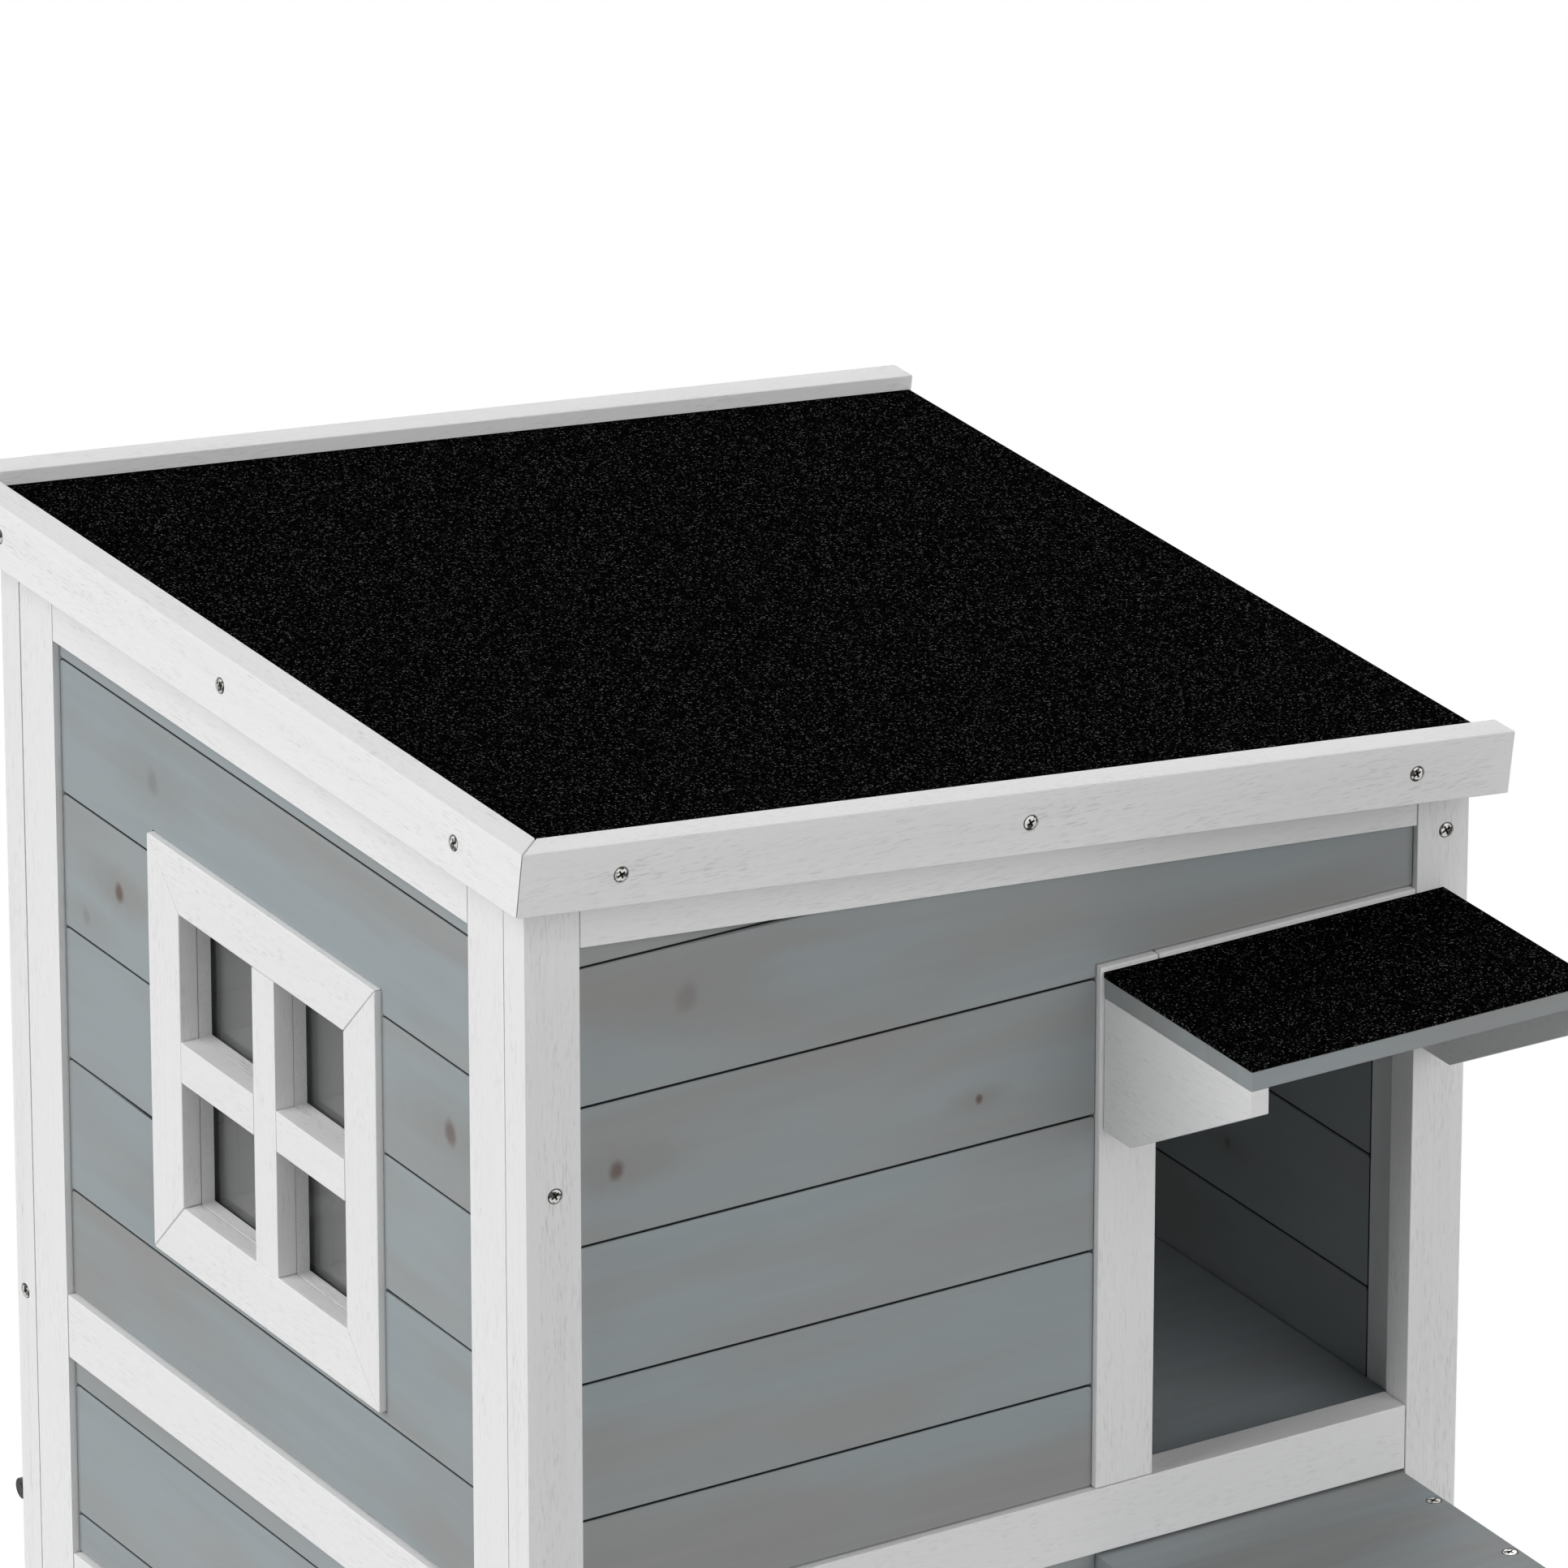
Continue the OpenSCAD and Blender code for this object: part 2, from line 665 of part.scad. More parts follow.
module front_mid_rail() {
    color(white_paint) difference() {
        place() difference() {
            timber(post_w, right_post_x, mid_low, mid_top);
            rail_groove(post_w - past, right_post_x + past, mid_low, true);
            rail_groove(post_w - past, door_stile_x, mid_top, false);
        }
        edge_screws(true);
    }
}
module front_bottom_rail() {
    color(white_paint) difference() {
        place() difference() {
            timber(post_w, right_post_x, leg_h, low_rail_top);
            rail_groove(post_w - past, right_post_x + past, low_rail_top, false);
        }
        edge_screws(true);
    }
}
module door_stile() {
    color(white_paint) place() difference() {
        timber(door_stile_x, door_x, mid_top, head_top);
        stile_groove(door_stile_x, mid_top - past, head_top + past, true);
        rail_groove(door_stile_x - past, door_x + past, head_top, false);
    }
}
module door_header() {
    color(white_paint) place() difference() {
        timber(door_x, right_post_x, head_low, head_top);
        rail_groove(door_x - past, right_post_x + past, head_top, false);
    }
}
// The boards stop at the doorway stile below the header's top and run over it above
module front_boards_upper() {
    edges = row_edges(mid_top, upper_top + groove_l, front_first);
    color(grey_paint) place() under_rail() for (i = [0 : len(edges) - 2]) {
        a = edges[i];
        b = edges[i + 1];
        if (a < head_top) board(post_w, door_stile_x, a, b, i == 0);
        if (a < head_top && b > head_top)
            board(door_stile_x - tongue_l, right_post_x, head_top, b, true);
        if (a >= head_top) board(post_w, right_post_x, a, b);
    }
}
module front_boards_lower() {
    color(grey_paint) place()
        board_rows(post_w, right_post_x, low_rail_top, mid_low, plain_first);
}

// Left wall
module left_stiles() {
    color(white_paint) under_roof() difference() {
        on_left() {
            difference() {
                timber(side_0, side_in_0, 0, high_top);
                stile_groove(side_in_0, low_rail_top, header_low, false);
                stile_groove(side_in_0, header_top, mid_low, false);
                stile_groove(side_in_0, mid_top, upper_top, false);
            }
            difference() {
                timber(side_in_1, side_1, 0, high_top);
                stile_groove(side_in_1, low_rail_top, header_low, true);
                stile_groove(side_in_1, header_top, mid_low, true);
                stile_groove(side_in_1, mid_top, upper_top, true);
            }
        }
        front_screws(true);
        back_screws(true);
    }
}
module left_top_rail() {
    color(white_paint) under_roof() on_left() difference() {
        timber(side_in_0, side_in_1, upper_top, high_top);
        rail_groove(side_in_0 - past, side_in_1 + past, upper_top, true);
    }
}
module left_mid_rail() {
    color(white_paint) on_left() difference() {
        timber(side_in_0, side_in_1, mid_low, mid_top);
        rail_groove(side_in_0 - past, side_in_1 + past, mid_low, true);
        rail_groove(side_in_0 - past, side_in_1 + past, mid_top, false);
    }
}
module left_header_rail() {
    color(white_paint) on_left() difference() {
        timber(side_in_0, side_in_1, header_low, header_top);
        rail_groove(side_in_0 - past, side_in_1 + past, header_top, false);
        rail_groove(side_in_0 - past, low_door_0 - stile_w, header_low, true);
        rail_groove(low_door_1 + stile_w, side_in_1 + past, header_low, true);
    }
}
module left_bottom_rail() {
    color(white_paint) on_left() difference() {
        timber(side_in_0, side_in_1, leg_h, low_rail_top);
        rail_groove(side_in_0 - past, low_door_0 - stile_w, low_rail_top, false);
        rail_groove(low_door_1 + stile_w, side_in_1 + past, low_rail_top, false);
    }
}
module left_boards_upper() {
    color(grey_paint) on_left() difference() {
        board_rows(side_in_0, side_in_1, mid_top, upper_top, side_first);
        translate([win_y0 - fit, -past, win_z0 - fit])
            cube([window_size + 2 * fit, timber_t + 2 * past, window_size + 2 * fit]);
    }
}
module left_boards_lower() {
    color(grey_paint) on_left() {
        board_rows(side_in_0, side_in_1, header_top, mid_low, skirt_first);
        board_rows(side_in_0, low_door_0 - stile_w, low_rail_top, header_low, plain_first);
        board_rows(low_door_1 + stile_w, side_in_1, low_rail_top, header_low, plain_first);
    }
}
module lower_door_stiles() {
    color(white_paint) on_left() {
        difference() {
            timber(low_door_0 - stile_w, low_door_0, low_rail_top, header_low);
            stile_groove(low_door_0 - stile_w, low_rail_top - past, header_low + past, true);
        }
        difference() {
            timber(low_door_1, low_door_1 + stile_w, low_rail_top, header_low);
            stile_groove(low_door_1 + stile_w, low_rail_top - past, header_low + past, false);
        }
    }
}

// Window: four mitred casing bars, glazing bars, an inner frame, a seal and a pane
module window_casing_top() {
    color(white_paint) on_left() slab([[win_y0, win_z1], [light_y0, light_z1],
        [light_y1, light_z1], [win_y1, win_z1]], casing_t);
}
module window_casing_bottom() {
    color(white_paint) on_left() slab([[win_y0, win_z0], [win_y1, win_z0],
        [light_y1, light_z0], [light_y0, light_z0]], casing_t);
}
module window_casing_front() {
    color(white_paint) on_left() slab([[win_y0, win_z0], [light_y0, light_z0],
        [light_y0, light_z1], [win_y0, win_z1]], casing_t);
}
module window_casing_back() {
    color(white_paint) on_left() slab([[win_y1, win_z0], [win_y1, win_z1],
        [light_y1, light_z1], [light_y1, light_z0]], casing_t);
}
module window_muntins() {
    color(white_paint) on_left() {
        translate([muntin_y - muntin_w / 2, 0, light_z0])
            cube([muntin_w, casing_t, light_z1 - light_z0]);
        translate([light_y0, 0, muntin_z - muntin_w / 2])
            cube([muntin_y - muntin_w / 2 - fit - light_y0, casing_t, muntin_w]);
        translate([muntin_y + muntin_w / 2 + fit, 0, muntin_z - muntin_w / 2])
            cube([light_y1 - muntin_y - muntin_w / 2 - fit, casing_t, muntin_w]);
    }
}
module window_inner_frame() {
    color(white_paint) on_left() translate([0, casing_t, 0]) difference() {
        translate([win_y0, 0, win_z0]) cube([window_size, inner_t, window_size]);
        for (y = [[light_y0, muntin_y - muntin_w / 2], [muntin_y + muntin_w / 2, light_y1]],
            z = [[light_z0, muntin_z - muntin_w / 2], [muntin_z + muntin_w / 2, light_z1]])
            translate([y[0], -past, z[0]])
                cube([y[1] - y[0], inner_t + 2 * past, z[1] - z[0]]);
    }
}
module window_seal() {
    a = seal_inset;
    b = seal_inset + seal_w;
    color(felt_black) on_left() translate([0, casing_t + inner_t, 0]) difference() {
        translate([light_y0 - b, 0, light_z0 - b])
            cube([light_y1 - light_y0 + 2 * b, seal_t, light_z1 - light_z0 + 2 * b]);
        translate([light_y0 - a, -past, light_z0 - a])
            cube([light_y1 - light_y0 + 2 * a, seal_t + 2 * past, light_z1 - light_z0 + 2 * a]);
    }
}
module window_pane() {
    b = seal_inset + seal_w;
    color(smoky_clear) on_left()
        translate([light_y0 - b, casing_t + inner_t + seal_t, light_z0 - b])
        cube([light_y1 - light_y0 + 2 * b, pane_t, light_z1 - light_z0 + 2 * b]);
}

// Right wall, boarded in one height from the bottom rail to the top rail
module right_stiles() {
    color(white_paint) under_roof() difference() {
        on_right() {
            difference() {
                timber(side_0, side_in_0, 0, high_top);
                stile_groove(side_in_0, low_rail_top, right_top, false);
            }
            difference() {
                timber(side_in_1, side_1, 0, high_top);
                stile_groove(side_in_1, low_rail_top, right_top, true);
            }
        }
        front_screws(true);
        back_screws(true);
    }
}
module right_rails() {
    color(white_paint) under_roof() difference() {
        on_right() difference() {
            for (z = [[leg_h, low_rail_top], [right_top, high_top]])
                timber(side_in_0, side_in_1, z[0], z[1]);
            rail_groove(side_in_0 - past, side_in_1 + past, low_rail_top, false);
            rail_groove(side_in_0 - past, side_in_1 + past, right_top, true);
        }
        roof_hinges(0) leaf_screws(1, roof_leaf_low, true);
    }
}
module right_boards() {
    color(grey_paint) on_right()
        board_rows(side_in_0, side_in_1, low_rail_top, right_top, right_first);
}

// Back wall, open below the middle rail for the back door
module back_stiles() {
    color(white_paint) under_roof() difference() {
        on_back() {
            difference() {
                timber(0, post_w, 0, high_top);
                stile_groove(post_w, mid_top, rail_low(post_w) + groove_l, false);
            }
            difference() {
                timber(right_post_x, body_w, 0, high_top);
                stile_groove(right_post_x, mid_top, rail_low(right_post_x) + groove_l, true);
            }
        }
        back_screws(true);
        edge_screws(true);
        door_hinges() leaf_screws(1, door_leaf_w, true);
        bolt_screws(true);
    }
}
module back_rails() {
    color(white_paint) difference() {
        on_back() {
            top_rail_blank();
            difference() {
                timber(post_w, right_post_x, mid_low, mid_top);
                rail_groove(post_w - past, right_post_x + past, mid_top, false);
            }
            timber(post_w, right_post_x, leg_h, low_rail_top);
        }
        edge_screws(true);
    }
}
module back_boards_upper() {
    color(grey_paint) on_back() under_rail()
        board_rows(post_w, right_post_x, mid_top, upper_top + groove_l, front_first);
}

// Floors on cleats that are fixed to the inner faces of the walls
module floor_panel(top) {
    color(grey_paint) place() translate([timber_t + gap, timber_t + gap, top - floor_t])
        cube([body_w - 2 * (timber_t + gap), body_d - 2 * (timber_t + gap), floor_t]);
}
module upper_floor() { floor_panel(upper_floor_top); }
module lower_floor() { floor_panel(lower_floor_top); }
module floor_cleats() {
    color(white_paint) place() for (top = [upper_floor_top, lower_floor_top]) {
        z = top - floor_t - cleat;
        for (y = [timber_t, body_d - timber_t - cleat]) translate([timber_t, y, z])
            cube([body_w - 2 * timber_t, cleat, cleat]);
        for (x = [timber_t, body_w - timber_t - cleat])
            translate([x, timber_t + cleat + fit, z])
            cube([cleat, body_d - 2 * (timber_t + cleat + fit), cleat]);
    }
}

// Bracket with its top at z = 0, its back at y = back and its front depth away
module bracket(back, depth) {
    rotate([90, 0, 90]) linear_extrude(bracket_t)
        polygon([[back, 0], [-depth, 0], [-depth, -bracket_tip_h],
            [-bracket_foot, -bracket_rear_h], [back, -bracket_rear_h]]);
}
module awning_board() {
    color(grey_paint) place() translate([awning_x, -awning_d, awning_low])
        cube([awning_w, awning_d, awning_t]);
}
module awning_felt() {
    color(felt_black) place() translate([awning_x, -awning_d, awning_low + awning_t])
        cube([awning_w, awning_d, felt_t]);
}
module awning_brackets() {
    color(white_paint) place() for (x = [awning_x, awning_x + awning_w - bracket_t])
        translate([x, 0, awning_low]) bracket(0, awning_d - bracket_back);
}
module platform_board() {
    color(grey_paint) difference() {
        place() translate([platform_x0, -platform_d, platform_top - platform_t])
            cube([platform_x1 - platform_x0, platform_d + board_recess, platform_t]);
        platform_screws(true);
    }
}
module platform_brackets() {
    color(white_paint) difference() {
        place() for (x = [platform_x0, platform_x1 - bracket_t])
            translate([x, 0, platform_top - platform_t])
            bracket(board_recess, platform_d - bracket_back);
        platform_screws(true);
    }
}

// Fixings of the house
module wall_screws() {
    color(steel) {
        front_screws();
        back_screws();
        edge_screws();
        platform_screws();
    }
}
module hinge_screws() {
    color(steel) {
        door_hinges() leaf_screws(1, door_leaf_w);
        roof_hinges(0) leaf_screws(1, roof_leaf_low);
        bolt_screws();
    }
}
module roof_hinge_fixed() {
    color(steel) roof_hinges(0) leaf(1, roof_leaf_low, false);
}
module door_hinge_fixed() {
    color(steel) door_hinges() leaf(1, door_leaf_w, false);
}
module hinge_pins() {
    color(steel) {
        roof_hinges(0) pin();
        door_hinges() pin();
    }
}
module bolt_guide() {
    color(black_iron) difference() {
        at_bolt() {
            bolt_plate(guide_in, guide_3);
            rod_guide(guide_in, guide_1);
            rod_guide(guide_2, guide_3);
        }
        bolt_screws(true);
    }
}
module bolt_rod() {
    color(black_iron) at_bolt() {
        translate([rod_0, -rod_off, 0]) rotate([0, 90, 0])
            cylinder(h = rod_1 - rod_0, r = rod_r, $fn = 32);
        translate([peg_x, -rod_off, 0]) rotate([90, 0, 0])
            cylinder(h = guide_off + guide_r + gap + past - rod_off, r = peg_r, $fn = 24);
        translate([peg_x, -guide_off - guide_r - gap, 0]) rotate([90, 0, 0])
            cylinder(h = knob_h, r = knob_r, $fn = 32);
    }
}

// Roof lid
module roof_deck() {
    color(grey_paint) difference() {
        on_roof() translate([deck_s0, deck_y0, batten_t])
            cube([deck_s1 - deck_s0, deck_y1 - deck_y0, deck_t]);
        fascia_screws(true);
    }
}
module roof_felt() {
    color(felt_black) on_roof() translate([deck_s0, deck_y0, batten_t + deck_t])
        cube([deck_s1 - deck_s0, deck_y1 - deck_y0, felt_t]);
}
module fascia_front() {
    color(white_paint) difference() {
        on_roof() linear_extrude(fascia_h) polygon([[roof_s0, roof_y0], [roof_s1, roof_y0],
            [roof_s1, deck_y0], [deck_s0, deck_y0]]);
        fascia_screws(true);
    }
}
module fascia_back() {
    color(white_paint) difference() {
        on_roof() linear_extrude(fascia_h) polygon([[roof_s0, roof_y1], [deck_s0, deck_y1],
            [roof_s1, deck_y1], [roof_s1, roof_y1]]);
        fascia_screws(true);
    }
}
module fascia_left() {
    color(white_paint) difference() {
        on_roof() linear_extrude(fascia_h) polygon([[roof_s0, roof_y0], [deck_s0, deck_y0],
            [deck_s0, deck_y1], [roof_s0, roof_y1]]);
        fascia_screws(true);
    }
}
module roof_battens() {
    color(white_paint) difference() {
        on_roof() {
            for (y = [deck_y0, deck_y1 - batten_w]) translate([deck_s0, y, 0])
                cube([batten_s1 - deck_s0, batten_w, batten_t]);
            for (s = [deck_s0, batten_s1 - batten_w])
                translate([s, deck_y0 + batten_w + fit, 0])
                cube([batten_w, deck_y1 - deck_y0 - 2 * (batten_w + fit), batten_t]);
        }
        roof_hinges(roof_slope) leaf_screws(-1, roof_leaf_up, true);
    }
}
module roof_screws() {
    color(steel) {
        fascia_screws();
        roof_hinges(roof_slope) leaf_screws(-1, roof_leaf_up);
    }
}
module roof_hinge_moving() {
    color(steel) roof_hinges(roof_slope) leaf(-1, roof_leaf_up, true);
}

// Back door
module back_door_frame() {
    in_0 = back_x0 + stile_w;
    in_1 = back_x1 - stile_w;
    low = back_z0 + rail_h;
    high = back_z1 - rail_h;
    color(white_paint) difference() {
        on_back() {
            difference() {
                timber(back_x0, in_0, back_z0, back_z1);
                stile_groove(in_0, low, high, false);
            }
            difference() {
                timber(in_1, back_x1, back_z0, back_z1);
                stile_groove(in_1, low, high, true);
            }
            difference() {
                timber(in_0 + fit, in_1 - fit, back_z0, low);
                rail_groove(in_0 - past, in_1 + past, low, false);
            }
            difference() {
                timber(in_0 + fit, in_1 - fit, high, back_z1);
                rail_groove(in_0 - past, in_1 + past, high, true);
            }
        }
        door_hinges() leaf_screws(-1, door_leaf_w, true);
        keeper_screws(true);
    }
}
module back_door_boards() {
    low = back_z0 + rail_h;
    first = (header_top + skirt_first - low) % board_pitch;
    color(grey_paint) on_back()
        board_rows(back_x0 + stile_w, back_x1 - stile_w, low, back_z1 - rail_h, first);
}
module back_door_screws() {
    color(steel) {
        door_hinges() leaf_screws(-1, door_leaf_w);
        keeper_screws();
    }
}
module door_hinge_moving() {
    color(steel) door_hinges() leaf(-1, door_leaf_w, true);
}
module bolt_keeper() {
    color(black_iron) difference() {
        at_bolt() {
            bolt_plate(keeper_0, keeper_plate_1);
            keeper_strap(keeper_0, keeper_1);
        }
        keeper_screws(true);
    }
}

front_left_stile();
front_right_stile();
front_top_rail();
front_mid_rail();
front_bottom_rail();
front_boards_upper();
front_boards_lower();
door_stile();
door_header();
left_stiles();
left_top_rail();
left_mid_rail();
left_header_rail();
left_bottom_rail();
left_boards_upper();
left_boards_lower();
lower_door_stiles();
window_casing_top();
window_casing_bottom();
window_casing_front();
window_casing_back();
window_muntins();
window_inner_frame();
window_seal();
window_pane();
right_stiles();
right_rails();
right_boards();
back_stiles();
back_rails();
back_boards_upper();
upper_floor();
lower_floor();
floor_cleats();
awning_board();
awning_felt();
awning_brackets();
platform_board();
platform_brackets();
wall_screws();
hinge_screws();
roof_hinge_fixed();
door_hinge_fixed();
hinge_pins();
bolt_guide();
bolt_rod();
roof_deck();
roof_felt();
fascia_front();
fascia_back();
fascia_left();
roof_battens();
roof_screws();
roof_hinge_moving();
back_door_frame();
back_door_boards();
back_door_screws();
door_hinge_moving();
bolt_keeper();
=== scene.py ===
"""Looks of the cat house: painted and stained timber, roofing felt, screws and a window."""

import json
import math
import random

import bmesh
import bpy
from mathutils import Matrix, Vector

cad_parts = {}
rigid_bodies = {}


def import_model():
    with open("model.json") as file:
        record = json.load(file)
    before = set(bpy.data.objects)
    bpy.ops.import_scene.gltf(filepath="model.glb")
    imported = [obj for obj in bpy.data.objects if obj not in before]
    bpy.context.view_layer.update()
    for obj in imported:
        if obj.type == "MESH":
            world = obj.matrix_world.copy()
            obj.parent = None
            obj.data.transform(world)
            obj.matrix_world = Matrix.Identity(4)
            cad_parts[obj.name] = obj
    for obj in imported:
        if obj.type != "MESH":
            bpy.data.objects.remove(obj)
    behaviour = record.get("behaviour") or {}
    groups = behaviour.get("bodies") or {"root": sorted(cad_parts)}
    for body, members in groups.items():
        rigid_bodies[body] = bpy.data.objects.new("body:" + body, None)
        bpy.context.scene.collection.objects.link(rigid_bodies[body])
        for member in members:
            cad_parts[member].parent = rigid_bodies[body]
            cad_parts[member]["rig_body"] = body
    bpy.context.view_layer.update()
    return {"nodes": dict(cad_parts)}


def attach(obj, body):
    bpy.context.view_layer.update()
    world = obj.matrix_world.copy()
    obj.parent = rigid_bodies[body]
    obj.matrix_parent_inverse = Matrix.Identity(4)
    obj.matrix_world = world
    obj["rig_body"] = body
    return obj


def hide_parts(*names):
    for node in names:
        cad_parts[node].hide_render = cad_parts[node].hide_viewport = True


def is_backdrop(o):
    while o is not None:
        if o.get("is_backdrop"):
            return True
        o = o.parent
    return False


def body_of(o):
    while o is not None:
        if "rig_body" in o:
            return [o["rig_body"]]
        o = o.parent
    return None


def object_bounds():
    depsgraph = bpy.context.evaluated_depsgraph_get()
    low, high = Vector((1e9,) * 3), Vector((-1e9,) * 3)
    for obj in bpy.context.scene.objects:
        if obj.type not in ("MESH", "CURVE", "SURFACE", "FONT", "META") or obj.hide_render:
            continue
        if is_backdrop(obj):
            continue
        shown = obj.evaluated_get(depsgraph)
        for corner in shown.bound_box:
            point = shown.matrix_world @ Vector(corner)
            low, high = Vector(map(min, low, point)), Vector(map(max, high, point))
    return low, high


# The view of the photograph: from the left, the front and above, through a long lens
TO_CAMERA = Vector((-0.4801, -0.7836, 0.3944))
CAMERA_AT = Vector((-3.31983, -5.42705, 3.52604))
LENS = 315.35
SENSOR = 36.0
FARTHEST_SEEN = 60.0

# Plain studio light: a faint sky and three wide soft lights, each with the direction
# towards it, its strength and its width in degrees
SKY = 0.06
LIGHTS = {
    "key_left": ((-0.840, 0.250, 0.470), 2.56, 58),
    "fill_front": ((0.216, -0.943, 0.240), 1.90, 75),
    "side_right": ((0.718, 0.654, 0.242), 1.50, 60),
}
LAMP_DISTANCE = 4.0

# The floor in metres: its radius, and from where to where its shadow fades to plain white.
# Its greys are the share that takes shadow, and what it throws back on the house
FLOOR_RADIUS = 14.0
FLOOR_STEPS = 96
SHADOW_FADE = (0.45, 0.85)
FLOOR_SHARE = 0.62
FLOOR_BOUNCE = 0.45

# Play of the timber in its joints, less on boards and casings and least on glazing bars,
# and bevels of its edges, in metres
PLAY = 0.0003
FINE_PLAY = 0.00018
FINEST_PLAY = 0.0001
EASED = 0.0006
EASED_CASING = 0.0007
EASED_BARS = 0.0003
SHORTEST_EASED = 0.008
SHARP = math.radians(40)
# Corners closer than this are one, and faces flatter to each other than this are one
WELD = 1e-6
FLAT = math.radians(0.5)
# The most that a sharp corner moves, as a multiple of the play
SHELL_MOST = 2.0
# Edges sharper than these stay sharp in the shading of timber and of screws
CRISP_WOOD = math.radians(50)
CRISP_SCREWS = math.radians(35)
# Seed of the tones and grain of the solids, and how far a solid's grain may be shifted
SEED = 7
GRAIN_SHIFT = 3.0
# Depth of the fine relief of timber, metal and rubber
RELIEF = 0.0002
# Depth below a board's faces from which its surface counts as part of the joint, painted
# near-black as shade and dirt
JOINT_DEPTH = 0.0015
FINE_WOOD = ("window_muntins", "window_inner_frame")

WHITE_WOOD = (
    "front_left_stile", "front_right_stile", "front_top_rail", "front_mid_rail",
    "front_bottom_rail", "door_stile", "door_header", "left_stiles", "left_top_rail",
    "left_mid_rail", "left_header_rail", "left_bottom_rail", "lower_door_stiles",
    "window_casing_top", "window_casing_bottom", "window_casing_front",
    "window_casing_back", "window_muntins", "window_inner_frame", "right_stiles",
    "right_rails", "back_stiles", "back_rails", "floor_cleats", "awning_brackets",
    "platform_brackets", "fascia_front", "fascia_back", "fascia_left", "roof_battens",
    "back_door_frame",
)
GREY_WOOD = ("awning_board", "platform_board", "upper_floor", "lower_floor", "roof_deck")
# Boards of each wall, how blue they are, and their knots: (along, height, size, darkness)
BOARDS = {
    "left": (("left_boards_upper", "left_boards_lower"), 0.74, (
        (0.2085, 0.7180, 0.9, 1.0), (0.2440, 0.6915, 0.8, 0.25), (-0.1262, 0.7150, 1.2, 0.8),
        (0.1712, 0.7935, 1.1, 0.3), (0.02, 0.36, 1.0, 0.8), (0.17, 0.24, 0.8, 0.5))),
    "front": (("front_boards_upper", "front_boards_lower"), 0.55, (
        (-0.2140, 0.7125, 0.9, 0.9), (-0.0052, 0.7010, 0.45, 1.0), (-0.1741, 0.7955, 1.3, 0.3),
        (0.13, 0.37, 1.0, 0.8), (-0.12, 0.22, 0.9, 0.5), (0.02, 0.14, 0.7, 0.9))),
    "right": (("right_boards",), 0.8, (
        (-0.06, 0.70, 0.9, 0.7), (0.16, 0.62, 1.0, 0.4), (0.09, 0.35, 0.8, 0.9),
        (-0.10, 0.23, 1.0, 0.6), (-0.02, 0.541, 0.6, 0.5))),
    "back": (("back_boards_upper", "back_door_boards"), 0.55, (
        (0.12, 0.74, 1.0, 0.8), (-0.15, 0.60, 0.8, 0.4), (0.05, 0.29, 1.0, 0.9),
        (-0.11, 0.18, 0.7, 0.5))),
}
# Share of warm wood around a knot: for any knot, and more for a dark one
HALO = (0.55, 0.45)
# Half length along the board and half height of the warm wood and of the knot itself
HALO_REACH = (0.060, 0.024)
KNOT_REACH = (0.0052, 0.0068)
# Nodes of cross-head screws, each with the radius of its heads
SCREWS = {"wall_screws": 0.004, "roof_screws": 0.004}
# A head's dome as (radius, height), its rim's depth and its shank, as shares of its radius,
# and how much of the radius is left undarkened, inside the painted shade and dirt along the rim
HEAD_UNDARKENED = 0.87
DOME = ((0.0, -0.01), (0.4, -0.02), (0.7, -0.04), (HEAD_UNDARKENED, -0.06), (0.96, -0.08))
SINK = 0.115
SHANK = 0.45
HEAD_STEPS = 40
# Faces that lie deeper than this share or look up less than this get painted shade and dirt,
# and how dark
UNDARKENED_DEPTH = 0.1
UNDARKENED_UP = 0.9
GRIME_AND_SHADE = 0.9
# The cross slot: how it is turned, and its height, half length and half width at its top
# and bottom, as shares of the head's radius
SLOT_TURN = math.radians(25)
SLOT = ((0.1, 0.66, 0.15), (-0.45, 0.3, 0.1))
# Length within which points of a screw count as being at its end
END_DEPTH = 0.0005


def set_up(tree, kind, settings=None, inputs=None):
    """A shader node with its settings and its inputs, each a value or another node's output."""
    n = tree.nodes.new("ShaderNode" + kind)
    for key, value in (settings or {}).items():
        setattr(n, key, value)
    for key, value in (inputs or {}).items():
        put(tree, n.inputs[key], value)
    return n


def put(tree, socket, value):
    if isinstance(value, bpy.types.NodeSocket):
        tree.links.new(value, socket)
    elif value is not None:
        socket.default_value = value


def calc(tree, operation, a, b=None, clamp=False):
    n = set_up(tree, "Math", {"operation": operation, "use_clamp": clamp}, {0: a, 1: b})
    return n.outputs[0]


def vector_calc(tree, operation, a, b=None):
    n = set_up(tree, "VectorMath", {"operation": operation}, {0: a, 1: b})
    return n.outputs["Value" if operation == "LENGTH" else "Vector"]


def ramp(tree, value, low, high, to_low=0.0, to_high=1.0):
    """value from low to high, smoothly, as to_low to to_high."""
    n = set_up(tree, "MapRange", {"interpolation_type": "SMOOTHSTEP"},
               {0: value, 1: low, 2: high, 3: to_low, 4: to_high})
    return n.outputs[0]


def mix(tree, share, a, b, blend="MIX"):
    n = set_up(tree, "Mix", {"data_type": "RGBA", "blend_type": blend},
               {0: share, 6: a, 7: b})
    return n.outputs[2]


def noise(tree, place, scale, detail=2.0, roughness=0.5, distortion=0.0):
    n = set_up(tree, "TexNoise", None, {"Vector": place, "Scale": scale, "Detail": detail,
                                        "Roughness": roughness, "Distortion": distortion})
    return n.outputs["Fac"]


def colour(r, g, b):
    return (r, g, b, 1.0)


def start(name):
    """An empty material with its Principled shader; returns (material, tree, shader)."""
    m = bpy.data.materials.new(name)
    m.use_nodes = True
    tree = m.node_tree
    tree.nodes.clear()
    out = tree.nodes.new("ShaderNodeOutputMaterial")
    shader = tree.nodes.new("ShaderNodeBsdfPrincipled")
    tree.links.new(shader.outputs[0], out.inputs[0])
    return m, tree, shader


